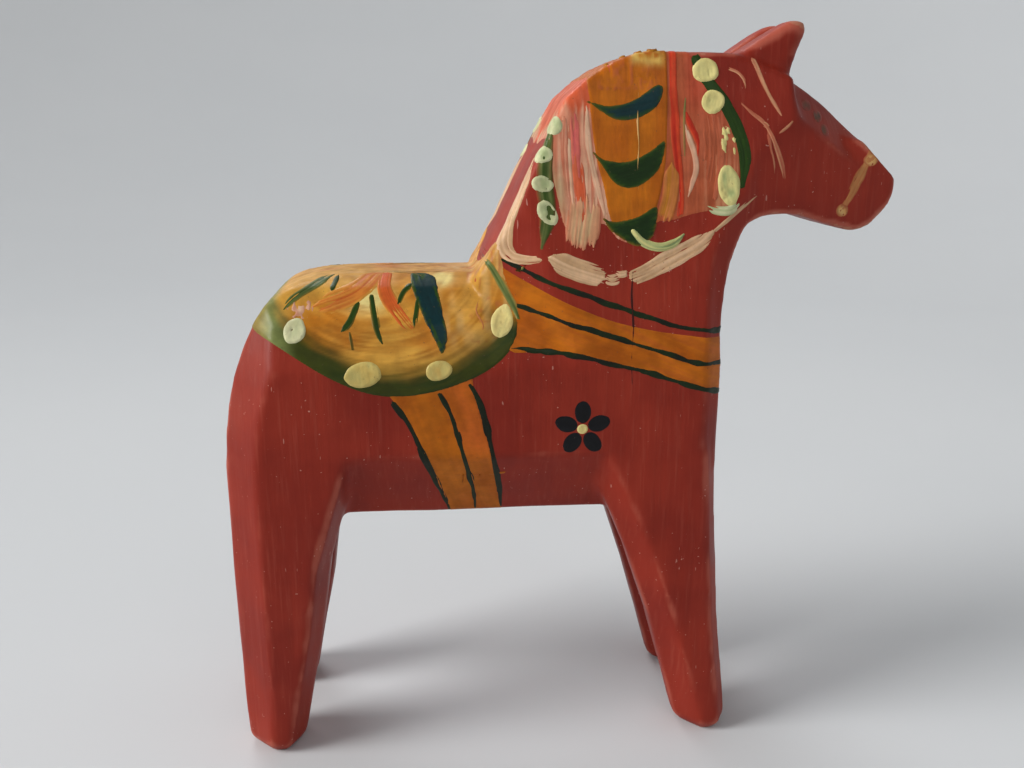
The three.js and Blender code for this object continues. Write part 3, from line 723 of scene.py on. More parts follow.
collar = dict(
    outline=[(-9.6, 69.3), (-6.8, 67.6), (0.2, 64), (7.7, 61.3), (18.9, 59.5), (26, 59.1), (34, 59), (34, 51),
             (26, 51.2), (19, 52), (12.5, 54.3), (1.1, 57.3), (-3.3, 58), (-8.2, 58.2), (-9.4, 62)],
    drop=-20.5, run=(0.14, 0.63),  # how far back the grid reaches, its stretch of the chest
    step=0.2, thick=0.09, slope=0.42,  # the band falls this much for each mm forwards
)
collarLines = dict(
    # name, slot, height of the paint under it, points
    lines=[
        ("upper", "dark_paint", 0.01,
         [(-9.5, 70), (-1.7, 66.5), (3.3, 64.7), (12.3, 61.7), (17.6, 60.5), (24, 60.2), (33.4, 60)]),
        ("middle", "green_paint", 0.09,
         [(-8.9, 64.4), (-4.6, 63.2), (0.2, 61.4), (3.9, 60.4), (12.8, 57.5), (17, 56.2), (24, 55.6),
          (33.4, 55.3)]),
        ("lower", "dark_paint", 0.09,
         [(-8, 58.5), (-3.3, 58.1), (1.1, 57.4), (12.5, 54.4), (19, 52.3), (24, 51.4), (33.4, 51.1)]),
    ],
    half=0.42, unsteady=0.13, waver=0.12,  # half-width, how it varies, and how far the line strays
    run=5, thick=0.07, seed=40, seedStep=5,  # each line swells over its first millimetres
)


def chestGrid(step):  # from the right withers round the chest to the left withers: far is 1 past the middle
    shell, x, z, far = saddlebag("chest", collar["drop"], *collar["run"], step)
    return shell, x, z, far.astype(float)


def makeCollar():  # a band round the chest, with streaks that follow its slope
    shell, x, z, far = chestGrid(collar["step"])
    inside = insideOutline(x, z, collar["outline"], 90)
    slope = z + collar["slope"] * np.clip(x, -12, 20)
    streak = noise(slope / 0.28 + far * 50, x / 7, 31) + 0.5 * noise(slope / 0.16, x / 4 + far * 50, 32)
    daub = layers(x / 5 + far * 50, slope / 2, 33, 2)
    shade = blend(colours["orange"], colours["yellow"], ease(0.4 + 0.6 * daub))
    shade = blend(shade, colours["coral"], 0.25 * ease(0.1 + daub - streak * 0.4) * between(x, -4, 2))
    shade = shade * (1 + 0.08 * streak)[..., None]
    body = collar["thick"] * (1 + 0.25 * streak + 0.1 * daub)
    film("collarBand", ["collar_band"], "yellow_paint", shell, paintLift(inside, body), shade, "band")


def makeCollarLines():
    # a line covers what lies within its half-width of a wavering curve; noise varies the half-width and
    # nibbles at the edges
    shell, x, z, far = chestGrid(strokeStep)
    for number, (line, slot, base, points) in enumerate(collarLines["lines"]):
        path, _ = throughPoints(points, 400)
        path = path[np.argsort(path[:, 0])]
        seed = collarLines["seed"] + collarLines["seedStep"] * number
        start = x - path[0, 0]
        half = collarLines["half"] + collarLines["unsteady"] * noise(x / 1.4 + far * 50, z * 0, seed)
        half = half * ease(0.35 + start / collarLines["run"])
        middle = np.interp(x, path[:, 0], path[:, 1])
        middle = middle + collarLines["waver"] * noise(x / 2.2 + far * 50, z * 0 + 3, seed + 1)
        broken = noise(x / 0.5 + far * 50, z / 0.3, seed + 2)
        broken = broken + 0.7 * noise(x / 1.6, z / 0.4 + far * 9, seed + 3)
        inside = np.minimum(half - np.abs(z - middle), start) - 0.10 * np.maximum(broken, 0)
        tone = ease(0.5 + 0.8 * noise(x / 2.5 + far * 50, z, seed + 4))
        shade = blend(colours["dark"], colours["darkGreen"], 0.6 * tone)
        film(f"collarLine_{line}", [f"collar_line_{line}"], slot, shell,
             paintLift(inside, collarLines["thick"] + 0.03 * broken, base), shade, "line")


girth = dict(
    outline=[(-23.9, 52.8), (-21.5, 49.2), (-18.6, 41.2), (-16.8, 36.9), (-16.1, 34.4), (-15.6, 33.2),
             (-9, 33.2), (-9.1, 36), (-10.5, 44.6), (-12.6, 52.5), (-13.4, 55.5), (-18.5, 55.5)],
    box=(-24.6, -8, 32.6, 56.5), step=0.2, thick=0.08,
    lean=0.34,  # the band runs this much forward for each mm down
    redStripe=(-14.6, -13.2),  # where, across the band, the red stripe starts and is full
)
girthLines = dict(
    fields="points",
    rows=[
        ([(-23.4, 51.9), (-21.3, 48.8), (-19.8, 45.2), (-16.8, 37), (-16, 34.2)],),
        ([(-17.4, 53.2), (-15.9, 50.2), (-14.8, 46.5), (-12.9, 38.6), (-12.5, 34.2)],),
        ([(-13.4, 54.2), (-12, 51.4), (-11.1, 47.8), (-9.5, 39.5), (-8.9, 34.4)],),
    ],
    numbered=("girthLine", "girth_line"), slot="dark_paint", width=0.95, colour="dark", base=0.08, thick=0.07,
    taper=(0.8, 0.6), dry=(0.1, 0.35), seed=60, mix="darkGreen", mixShare=0.6, wobble=0.3, finish="line",
)


def makeGirth():  # a band down each side, its streaks along its lean, then its three lines
    x, z = patch(*girth["box"], girth["step"])
    inside = insideOutline(x, z, girth["outline"], 80)
    run = x + girth["lean"] * (z - 44)
    for side, word in sides.items():
        streak = noise(run / 0.3 + side, z / 7, 51) + 0.5 * noise(run / 0.17, z / 4 + side, 52)
        daub = layers(run / 2.6, z / 5 + side, 53, 2)
        shade = blend(colours["orange"], colours["yellow"], ease(0.4 + 0.5 * daub))
        red = between(run, *girth["redStripe"]) * ease(0.35 + 0.5 * daub) * between(z, 42, 46)
        shade = blend(shade, colours["coral"], 0.6 * red) * (1 + 0.08 * streak)[..., None]
        lift = paintLift(inside - 0.1 * np.maximum(streak, 0), girth["thick"] * (1 + 0.25 * streak))
        film(f"girthBand_{word}", [f"girth_band_{word}"], "yellow_paint", shellPoint(x, z, side, None), lift,
             shade, "band")
    drawRows(brush, **girthLines)


mane = dict(
    field=[(16, 112), (16.2, 95.4), (18.8, 91.4), (20.6, 89.2), (22, 86), (22.4, 82.5), (22.2, 79),
           (21.9, 76.8), (19.3, 76), (16, 75.4), (13.3, 74.6), (11.3, 74.4), (8.2, 71.9), (6, 72.4),
           (4.8, 74), (3.6, 74.3), (2.3, 73.2), (0.6, 73), (-0.9, 74), (-1.4, 77), (-2, 81), (-2.5, 84.6),
           (-10, 88.6), (-8, 98), (2, 112)],
    panel=[(13, 112), (13, 95.3), (12.6, 82.6), (11.3, 76.2), (10, 74), (8.2, 72.6), (6.2, 73.2), (5, 75.3),
           (4.3, 79), (3.4, 82.6), (2.6, 89.5), (2.5, 92.3), (2, 93.6), (-3, 101), (-4, 110), (6, 114)],
    box=(-11, 24, 70, 111), step=0.2,
    fieldThick=0.07, panelThick=0.06, panelBase=0.12,
    meet=0.12,  # both sides' grounds run this far over the crest's middle
)


def fieldShade(x, z, streak, daub):
    # behind the panel pale and rosy with a red crest, before it brick and rosy: one blend after another, each
    # by where it lies and by the streaks and daubs of the brush
    left = blend(colours["rosy"], colours["white"], ease(0.36 + 0.3 * streak + 0.3 * daub))
    left = blend(left, colours["magenta"], 0.45 * ease(1 - np.abs(x - 0.9) / 0.9) * ease(0.5 + 0.5 * daub))
    left = blend(left, colours["greyGreen"], 0.4 * between(x, 0.2, -1.3) * ease(0.5 + daub))
    left = blend(left, colours["coral"], 0.85 * between(z - 0.8 * streak, 87.6, 89.2))
    left = blend(left, colours["wood"], 0.6 * between(z, 89, 92) * ease(0.3 + 0.8 * streak))
    right = blend(colours["brick"], colours["rosy"], 0.75 * ease(0.2 + 0.5 * daub + 0.2 * streak))
    right = blend(right, colours["red"], 0.4 * between(z + 2 * daub, 86, 92) * between(x, 14.5, 16.5))
    right = blend(right, colours["orange"], 0.7 * between(x, 13.8, 13.2) * ease(0.5 + daub))
    low = between(x, 16.5, 19.5) * between(z, 84, 80)
    right = blend(right, colours["buff"], 0.35 * low * ease(0.5 + streak))
    return blend(left, right, between(x, 7, 9)) * (1 + 0.08 * streak)[..., None]


def makeManeGrounds():
    # a field and a panel on each side, up to the crest's middle; the top of the panel is scrubbed bare
    x, z = patch(*mane["box"], mane["step"])
    toMiddle = middleOf("crest") + mane["meet"] - riseOver(x, z, "crest")
    field = np.minimum(insideOutline(x, z, mane["field"], 110), toMiddle)
    panel = np.minimum(insideOutline(x, z, mane["panel"], 110), toMiddle)
    for side, word in sides.items():
        shift = 50.0 * (side > 0)
        streak = noise(x / 0.26 + shift, z / 9, 71) + 0.6 * noise(x / 0.16, z / 5 + shift, 72)
        daub = layers(x / 2.4 + shift, z / 6, 73, 2)
        shell = shellPoint(x, z, side, "crest")
        lift = paintLift(field, mane["fieldThick"] * (1 + 0.3 * streak))
        shade = fieldShade(x, z, streak, daub)
        film(f"maneField_{word}", ["mane_field"], "pink_paint", shell, lift, shade, "mane")
        cross = noise(z / 0.3 + shift, x / 5, 75)
        top = between(z - cross, 90.5, 92.1) * between(x, 12, 10.5)
        scrub = noise(x / 0.45 + shift, z / 1.1, 76) + 0.7 * noise(x / 0.3, z / 0.5 + shift, 77)
        bright = between(z, 94, 95.2) * between(x, 7.5, 9) * between(x, 13, 12)
        shade = blend(colours["orange"], colours["yellow"], ease(0.5 + 0.5 * daub))
        shade = blend(shade, colours["brick"], top * ease(0.3 + 0.8 * scrub) * 0.6)
        shade = blend(shade, colours["cream"] * [1, 0.85, 0.5], 0.7 * bright * ease(0.6 + 0.5 * scrub))
        shade = shade * (1 + 0.05 * streak + 0.04 * cross)[..., None]
        body = mane["panelThick"] * (1 + 0.35 * streak * (1 - top) + 1.3 * top * scrub)
        lift = paintLift(panel, body, mane["panelBase"])
        film(f"manePanel_{word}", ["mane_panel"], "orange_paint", shell, lift, shade, "mane")


maneCrescents = dict(
    fields="slot colour hairy outline",
    rows=[
        ("dark_paint", "teal", 0.3,
         [(2.4, 89.6), (5.4, 89.1), (8.5, 89.9), (11.4, 91.9), (12.3, 91.5), (11.5, 89.1), (9, 87.5),
          (5.9, 87.4)]),
        ("green_paint", "darkGreen", 0.45,
         [(3.1, 83.2), (4.5, 82.3), (7.6, 82.05), (10.5, 83.35), (12.4, 84.6), (12, 82.1), (11.2, 80.7),
          (9.8, 79.5), (8.3, 78.8), (6.8, 78.9), (5.4, 79.8)]),
        ("green_paint", "darkGreen", 0.6,
         [(4.3, 74.9), (5.9, 74.5), (8.8, 75.15), (11.2, 76.3), (10.9, 73.5), (10.2, 72.4), (8.6, 71.6),
          (5.7, 73.2)]),
    ],
    numbered=("maneCrescent", "mane_crescent"), second="leaf", seed=80, finish="stroke",
)
maneRearStem = dict(
    name="maneRearStem", nodes=["mane_rear_stem_{}"], slot="green_paint",
    points=[(-1.9, 86.2), (-2.5, 82.3), (-2.7, 78.5), (-2.6, 75.4), (-3.6, 70.8)], width=1.9,
    colour="dullGreen", wrap="crest", taper=(0.5, 0.15), base=0.09, thick=0.05, dry=(0.2, 0.3), seed=90,
    mix="leaf", mixShare=0.9, finish="stroke", under="wood",
)
maneFrontArc = dict(
    name="maneFrontArc", nodes=["mane_front_arc_{}"], slot="green_paint",
    points=[(16.6, 95.6), (18.3, 92.5), (20.3, 89.5), (22.1, 86), (23, 82.4), (22.6, 78.6)], width=1.9,
    colour="leaf", wrap="crest", taper=(0.7, 0.35), base=0.09, thick=0.06, dry=(0.1, 0.2), seed=91,
    mix="darkGreen", mixShare=0.6, finish="stroke", under="deepLeaf",
)
maneFrontDots = dict(
    fields="centre size lean dry mixShare",
    rows=[
        ((18, 93.9), (3.5, 2.9), 0.1, 0, 0.2), ((18.9, 89.7), (3.1, 3.4), -0.3, 0, 0.2),
        ((20.8, 84.5), (2.3, 4.1), 0.35, 1.0, 0.2), ((20.8, 79.1), (3, 5.2), 0.1, 0.2, 0.8),
    ],
    numbered=("maneFrontDot", "mane_front_dot"), slot="cream_paint", colour="cream", wrap="crest", base=0.14,
    thick=0.18, seed=200, mix="paleGreen", finish="cream",
)
maneRearDots = dict(
    fields="centre size lean dry",
    rows=[
        ((-1.7, 86.4), (2.4, 2.7), 0.2, 0), ((-2.9, 82.6), (2.5, 2.3), 0.3, 0.1),
        ((-2.9, 79.0), (2.3, 2.0), 0, 0.4), ((-2.6, 75.6), (2.0, 3.1), 0.25, 0.35),
    ],
    numbered=("maneRearDot", "mane_rear_dot"), slot="cream_paint", colour="pale", wrap="crest", base=0.14,
    thick=0.13, seed=210, mix="paleGreen", mixShare=0.7, finish="cream",
)
maneStreaks = dict(
    fields="name slot under points width colour dry mix taper",
    rows=[
        ("redStripe", "orange_paint", "brick",
         [(13.9, 99), (13.6, 91.8), (13.8, 88), (13.9, 84.4), (14.5, 78), (14.3, 74.8)],
         1.35, "red", (0.2, 0.2), "coral", (0.9, 0.7)),
        ("redCurve", "orange_paint", "brick",
         [(15.1, 88.9), (15.7, 87), (16.5, 85.4), (16.9, 84), (16.7, 81.6)],
         0.9, "red", (0.1, 0.5), "coral", (0.3, 0.2)),
        ("creamCurve", "cream_paint", "brick",
         [(15, 87.4), (15.5, 85.4), (16.3, 83), (16.5, 81), (16, 79.3), (15.2, 77)],
         1.0, "white", (0.2, 0.4), "rosy", (0.2, 0.2)),
        ("greySlit", "dark_paint", "brick", [(15.3, 90.8), (15, 87), (15, 81.7)],
         0.5, "greyGreen", (0.1, 0.3), "brick", (0.5, 0.4)),
        ("pinkStreak", "pink_paint", "rosy", [(0.7, 88.4), (0.9, 85.4), (1.1, 79.6)],
         1.3, "magenta", (0.3, 0.3), "rosy", (0.6, 0.6)),
        ("coralStreak", "orange_paint", "rosy", [(1, 83.5), (1.3, 78.2), (1.4, 74.4)],
         1.7, "coral", (0.3, 0.2), "rosy", (0.3, 0.9)),
        ("creamEdge", "cream_paint", "rosy", [(2.3, 89.3), (2.5, 84.5), (3.1, 80.8), (4.6, 75)],
         1.0, "white", (0.1, 0.2), "rosy", (0.4, 0.6)),
        ("paleStreak", "cream_paint", "rosy", [(-0.3, 87.6), (-0.4, 83), (-0.2, 77)],
         1.1, "rosy", (0.3, 0.4), "white", (0.5, 0.5)),
        ("paleHair", "cream_paint", "rosy", [(0.2, 87), (0.2, 82), (0.3, 75)],
         0.6, "white", (0.3, 0.5), "rosy", (0.5, 0.5)),
        ("yellowWedge", "yellow_paint", "brick", [(13.3, 82.4), (13.1, 78), (12.2, 74.6)],
         2.4, "ochre", (0, 0), "rosy", (0.02, 1)),
        ("rosyVeil", "pink_paint", "brick", [(18.6, 89), (19.2, 83), (18.2, 77)],
         3.2, "brick", (0.6, 0.5), "rosy", (0.4, 0.8)),
    ],
    wrap="crest", base=0.1, thick=0.05, fray=(0.8, 0.8), seed=230, mixShare=0.5, finish="mane",
)
dryBristles = dict(
    name="dryBristles", slot="cream_paint", points=[(2, 79), (1.8, 75.5), (1.2, 70.9)], width=4.3,
    colour="buff", wrap="crest", base=0.1, thick=0.06, taper=(0.35, 0.9), dry=(0.5, 0.15), fray=(3.6, 1.9),
    seed=245, mix="rosy", mixShare=0.5, finish="mane", under="rosy",
)
creamSmear = dict(
    name="creamSmear", slot="cream_paint", points=[(17.6, 76.6), (19.3, 75.9), (21, 75.9), (22.4, 76.8)],
    width=1.2, colour="pale", wrap="crest", base=0.13, thick=0.05, taper=(0.3, 0.3), dry=(0.7, 0.5), seed=247,
    mix="paleGreen", mixShare=0.7, finish="cream",
)
crestCrumbs = [((7.1, 95.9), 1.0), ((9.3, 97), 1.3), ((11.2, 96.9), 1.6), ((4.9, 94.9), 0.8)]  # centre, size
paleTail = dict(
    name="paleTail", slot="sage_paint", points=[(7.9, 73.6), (9.4, 72), (11.4, 71.3), (13.4, 71.7), (15, 73)],
    width=1.1, colour="paleGreen", wrap="crest", base=0.27, thick=0.07, taper=(0.8, 0.15), dry=(0, 0.3),
    seed=246, mix="cream", mixShare=0.8, finish="cream",
)
garlandStem = dict(
    name="garland", nodes=["garland_{}"], slot="cream_paint",
    points=[(-4.4, 83.8), (-5.2, 79.8), (-7.0, 75), (-7.6, 71.6), (-6.8, 70.0), (-5.2, 69.6), (-3.4, 69.9)],
    width=2.2, colour="buff", wrap="crest", thick=0.09, taper=(0.25, 0.4), dry=(0.3, 0.15), seed=250,
    fray=(1.5, 0.8), thin=0.15, mix="white", mixShare=0.6, finish="cream",
)
garlandStrokes = dict(
    fields="name points width taper dry fray",
    rows=[
        ("garlandMiddle", [(-2.9, 70.3), (-0.6, 69.1), (1.8, 68.2), (4.6, 67.4)],
         3.0, (0.4, 0.85), (0.05, 0.25), (0.4, 1.2)),
        ("garlandCrumb1", [(4.4, 67.5), (5.4, 67.2), (6.4, 67.5)], 1.5, (0.6, 0.6), (0.45, 0.5), (0.5, 0.5)),
        ("garlandCrumb2", [(5.8, 68.2), (6.6, 68), (7.5, 68.3)], 1.2, (0.4, 0.4), (0.5, 0.4), (0.5, 0.5)),
        ("garlandFront", [(7.7, 67.3), (10, 68.2), (12.3, 69.4), (17, 71.8), (19.4, 73.7)],
         2.5, (0.85, 0.2), (0.15, 0.35), (0.6, 1.5)),
        ("garlandTail", [(18.6, 73), (23.1, 76.4), (26.3, 78.5)], 0.7, (0.8, 0.4), (0.3, 0.8), (0.5, 1.5)),
    ],
    slot="cream_paint", colour="buff", thick=0.08, thin=0.15, seed=251, mix="white", mixShare=0.5,
    finish="cream",
)


def makeManeMarks():
    # crescents and stems, then the dots, the streaks drawn through the field, and the garland below
    drawRows(press, **maneCrescents)
    bothSides(brush, **maneRearStem)
    bothSides(brush, **maneFrontArc)
    drawRows(dab, **maneFrontDots)
    drawRows(dab, **maneRearDots)
    drawRows(brush, **maneStreaks)
    bothSides(brush, **dryBristles)
    bothSides(brush, **creamSmear)
    for number, (place, size) in enumerate(crestCrumbs):  # crumbs of paint that dried on the crest
        dab(f"crestCrumb{number + 1}", [], "sage_paint", place, (size, size), "ochre", wrap="crest", base=0.1,
            thick=0.4, seed=260 + number, mix="green", mixShare=0.9, finish="mane")
    bothSides(brush, **paleTail)
    bothSides(brush, **garlandStem)
    drawRows(brush, **garlandStrokes)


headLines = dict(
    fields="name nodes points width taper dry",
    rows=[
        ("bridle", ["bridle_{}"],
         [(22.3, 89.7), (24, 88.2), (25.8, 86.7), (27.4, 83.8), (28.6, 80.8), (29.2, 77.8)],
         0.75, (0.5, 0.6), (0.2, 0.15)),
        ("bridleBranch", [], [(26, 86.8), (26.4, 84.4), (27.1, 81.6), (27.4, 79.4)],
         0.6, (0.8, 0.3), (0.2, 0.6)),
        ("bridleKnot", [], [(25.2, 86.9), (25.9, 86.6), (26.3, 85.9)], 0.9, (0.6, 0.6), (0.2, 0.2)),
        ("browHook", [], [(21, 93.8), (22.4, 93.2), (23.3, 92), (23.4, 90.6)], 0.7, (1.0, 0.3), (0.2, 0.6)),
        ("cheekLine", [], [(24.4, 95.2), (26.1, 91), (28.4, 87.2)], 0.7, (1.0, 0.3), (0.1, 0.5)),
        ("cheekTick", [], [(27.4, 85.4), (28.8, 86.4), (29.9, 87.5)], 0.5, (0.4, 1), (0.4, 0.3)),
    ],
    slot="cream_paint", colour="rosy", thick=0.05, fray=(0.5, 1.0), seed=270, seedStep=7, mix="buff",
    mixShare=0.6, thin=0.4, wobble=0.25, finish="cream", under="brick",
)
noseband = dict(
    name="noseband", nodes=["noseband"], slot="cream_paint",
    points=[(37.8, 75.4), (38.8, 77), (40.2, 79.9), (42.4, 83.6), (48.3, 91.6)], width=1.7, colour="tan",
    wrap="nose", thick=0.04, taper=(1, 0.9), dry=(0.1, 0.1), seed=279, mix="brick", mixShare=0.7, thin=0.6,
    finish="cream", wobble=0.35, under="wood",
)
nosebandEnds = [  # name, centre, size, wrap
    ("nosebandEnd", (37.9, 75.4), (2.0, 1.9), None),
    ("nosebandTop", (41.7, 82.0), (2.2, 1.8), "nose"),
]
nosebandPaint = dict(slot="cream_paint", colour="tan", thick=0.06, dry=0.1, seed=285, apart=2, mix="buff",
                     finish="cream", soft=0.8)
eyeDabs = [  # name, nodes, centre, size, seed
    ("eyeDab1", ["eye_{}"], (32.3, 89.2), (2.2, 1.9), 289),
    ("eyeDab2", [], (34.0, 87.8), (2.0, 1.9), 292),
    ("eyeDab3", [], (34.8, 86.0), (1.8, 1.9), 295),
]
eyePaint = dict(slot="sage_paint", colour="sage", thick=0.02, dry=0.1, apart=2, mix="brick", mixShare=0.35,
                finish="stroke", soft=0.85)


def makeHeadMarks():  # thin bridle lines, then on each side the noseband with its ends, and the eye's dabs
    drawRows(brush, **headLines)
    for side in sides:
        oneSide(brush, side, apart=2, **noseband)
        for name, centre, size, wrap in nosebandEnds:
            oneSide(dab, side, name, centre=centre, size=size, wrap=wrap, **nosebandPaint)
        for name, nodes, centre, size, seed in eyeDabs:
            oneSide(dab, side, name, nodes, seed, centre=centre, size=size, **eyePaint)


flower = dict(
    centre=(1.6, 47.6), box=(-3, 6.2, 43, 52.2),
    petals=5, petalMiddle=2.3, petalSize=(1.6, 1.15),  # how far out each petal's middle lies, its half-sizes
    heart=(1.5, 1.4),  # size of the dab in the middle
)


def makeFlower():
    # the union of ellipses whose middles stand evenly on a circle, the first one straight up
    x, z = patch(*flower["box"], strokeStep)
    u, v = x - flower["centre"][0], z - flower["centre"][1]
    inside = np.full(x.shape, -9.0)
    length, width = flower["petalSize"]
    for turn in np.arange(flower["petals"]) * 2 * np.pi / flower["petals"] + np.pi / 2:
        along, aside = u * np.cos(turn) + v * np.sin(turn), v * np.cos(turn) - u * np.sin(turn)
        petal = (1 - np.hypot((along - flower["petalMiddle"]) / length, aside / width)) * 1.2
        inside = np.maximum(inside, petal)
    streak = noise(np.arctan2(v, u) * 6, np.hypot(u, v) / 3, 95)
    shade = colours["ink"] * (1 + 0.25 * streak)[..., None]
    film("flankFlower", ["flank_flower"], "dark_paint", shellPoint(x, z, -1, None),
         paintLift(inside - 0.08 * np.maximum(streak, 0), 0.08 + 0.02 * streak), shade, "line")
    dab("flowerHeart", [], "cream_paint", flower["centre"], flower["heart"], "cream", thick=0.14, seed=96,
        mix="tan", finish="cream")


cracks = [  # name, slot, points, width, colour, paint under it
    ("chestCrack", "dark_paint", [(8.1, 68.4), (7.9, 65), (8.15, 61), (7.95, 57), (8.1, 53.2)],
     0.26, "crack", 0.13),
    ("panelCrack", "cream_paint", [(9.1, 90.8), (8.9, 87), (9.0, 84), (8.8, 81), (8.9, 77.6)],
     0.22, "tan", 0.34),
]


def makeCracks():  # drying cracks that run down with the grain, on the right side only
    for number, (name, slot, points, width, colour, base) in enumerate(cracks):
        brush(name, [], slot, points, width, colour, base=base, thick=0.03, taper=(0.3, 0.2), dry=(0.3, 0.3),
              seed=300 + number, wobble=0.5, finish="line")


def nodeTool(material):  # gives back add, which makes one shader node with its numbers and its links
    material.use_nodes = True
    tree = material.node_tree
    tree.nodes.clear()

    def add(kind, links=(), **values):
        node = tree.nodes.new("ShaderNode" + kind)
        for key, value in values.items():
            if hasattr(node, key) and key not in node.inputs:
                setattr(node, key, value)
            else:
                node.inputs[key.replace("_", " ") if key not in node.inputs else key].default_value = value
        for socket, source in dict(links).items():
            tree.links.new(source, node.inputs[socket])
        return node
    return add


def cells(add, scale, detail, stretch=(1, 1, 1)):
    # noise on the object's own axes: scale cells to the metre, times stretch along each axis
    mapping = add("Mapping", {"Vector": add("TexCoord").outputs["Object"]}, Scale=stretch)
    noiseNode = add("TexNoise", {"Vector": mapping.outputs["Vector"]}, Scale=scale, Detail=detail)
    return noiseNode.outputs["Fac"]


def ramp(add, source, low, high, atLow=0.0, atHigh=1.0):  # eased from atLow at low to atHigh at high
    node = add("MapRange", {"Value": source})
    node.interpolation_type = "SMOOTHSTEP"
    for key, value in zip(("From Min", "From Max", "To Min", "To Max"), (low, high, atLow, atHigh)):
        node.inputs[key].default_value = value
    return node.outputs["Result"]


def mixColour(add, share, a, b, kind="MIX"):  # a mixed with, or multiplied by, b: each a colour or a socket
    node = add("Mix", {0: share}, data_type="RGBA", blend_type=kind)
    for socket, value in ((node.inputs[6], a), (node.inputs[7], b)):
        if isinstance(value, tuple):
            socket.default_value = value
        else:
            node.id_data.links.new(value, socket)
    return node.outputs[2]


def surface(add, links, specular, coat=0.0, coatRough=0.2, **values):  # the shader, and its way out
    shader = add("BsdfPrincipled", links, **values)
    shader.inputs["Specular IOR Level"].default_value = specular
    shader.inputs["Coat Weight"].default_value = coat
    shader.inputs["Coat Roughness"].default_value = coatRough
    add("OutputMaterial", {0: shader.outputs[0]})


paintTones = dict(dirt=(0.34, 0.30, 0.22, 1), ridge=(1.5, 1.45, 1.3, 1), speck=(0.10, 0.06, 0.03, 1))


def paintFinish(name, gloss, rough, hair, dirt):
    # brushed enamel: its colour comes with the stroke, and fine dirt, wear and bristle lines from noise
    material = bpy.data.materials.new(name)
    add = nodeTool(material)
    colour = add("Attribute", attribute_name="paint").outputs["Color"]
    cloud = cells(add, 420.0, 4.0)
    bristle = cells(add, 1.0, 3.0, hair)
    speck = cells(add, 2600.0, 2.0)
    shade = mixColour(add, ramp(add, cloud, 0.35, 0.7, 0.0, dirt), colour, paintTones["dirt"], "MULTIPLY")
    shade = mixColour(add, ramp(add, bristle, 0.3, 0.75, 0.0, 0.22), shade, paintTones["ridge"], "MULTIPLY")
    shade = mixColour(add, ramp(add, speck, 0.70, 0.76, 0.0, 0.5), shade, paintTones["speck"])
    bump = add("Bump", {"Height": bristle}, Strength=0.35, Distance=0.00006)
    grain = add("Bump", {"Height": cloud, "Normal": bump.outputs[0]}, Strength=0.25, Distance=0.0001)
    roughness = ramp(add, cloud, 0.3, 0.7, rough - 0.06, rough + 0.1)
    surface(add, {"Base Color": shade, "Normal": grain.outputs[0], "Roughness": roughness}, 0.14, gloss)
    return material


finishes = {  # name, gloss, roughness, hairs to the metre, dirt
    "saddle": paintFinish("saddleClothPaint", 0.12, 0.42, (700, 700, 2600), 0.35),
    "band": paintFinish("bandPaint", 0.07, 0.44, (900, 900, 2400), 0.35),
    "mane": paintFinish("manePaint", 0.10, 0.42, (3200, 3200, 500), 0.3),
    "stroke": paintFinish("leafStrokePaint", 0.10, 0.40, (1500, 1500, 1500), 0.25),
    "line": paintFinish("liningPaint", 0.12, 0.36, (1400, 1400, 1400), 0.2),
    "cream": paintFinish("creamDabPaint", 0.10, 0.42, (2200, 2200, 1400), 0.28),
}

redPaint = dict(
    deep=(0.215, 0.015, 0.006, 1), warm=(0.295, 0.026, 0.011, 1), streak=(0.78, 0.66, 0.62, 1),
    wornAndSheen=(0.52, 0.14, 0.09, 1), bare=(0.55, 0.36, 0.22, 1), speck=(0.75, 0.45, 0.36, 1),
)


def makeRedPaint():
    # the red is scrubbed on along the grain: upright streaks, cloudy patches, rubbed edges, a painted sheen
    # on the facets that look along the horse and up, fine specks
    material = bpy.data.materials.new("redLeadPaint")
    add = nodeTool(material)
    streak = cells(add, 1.0, 5.0, (560, 150, 38))
    fine = cells(add, 1.0, 3.0, (2400, 500, 150))
    cloud = cells(add, 85.0, 5.0)
    speck = cells(add, 2600.0, 1.0)
    scratch = cells(add, 1.0, 1.0, (2600, 2600, 420))
    wearAndSheen = add("Attribute", attribute_name="wearAndSheen").outputs["Fac"]
    shade = mixColour(add, ramp(add, cloud, 0.3, 0.7), redPaint["deep"], redPaint["warm"])
    shade = mixColour(add, ramp(add, streak, 0.35, 0.75, 0.0, 0.35), shade, redPaint["streak"], "MULTIPLY")
    # the wear attribute brings both the worn edges and the painted sheen of the facets, both in the paler
    # worn tone
    for source, low, high, most, tone in (
        (fine, 0.5, 0.85, 0.14, "wornAndSheen"), (wearAndSheen, 0.05, 0.9, 0.5, "wornAndSheen"), (wearAndSheen, 0.97, 1.0, 0.25, "bare"),
        (speck, 0.76, 0.79, 0.5, "speck"), (scratch, 0.775, 0.80, 0.35, "speck"),
    ):
        shade = mixColour(add, ramp(add, source, low, high, 0.0, most), shade, redPaint[tone])
    first = add("Bump", {"Height": streak}, Strength=0.35, Distance=0.00025)
    second = add("Bump", {"Height": fine, "Normal": first.outputs[0]}, Strength=0.3, Distance=0.00008)
    roughness = ramp(add, cloud, 0.3, 0.7, 0.40, 0.56)
    surface(add, {"Base Color": shade, "Normal": second.outputs[0], "Roughness": roughness}, 0.2, 0.0, 0.3)
    return material


room = dict(
    flat=0.42, rise=0.55, wall=0.62,  # metres: flat floor, radius of the bend, top of the wall
    paper=(0.655, 0.672, 0.69, 1), cloud=(0.93, 0.94, 0.95, 1),
    sky=(0.93, 0.92, 0.90, 1), skyPower=0.30,
)


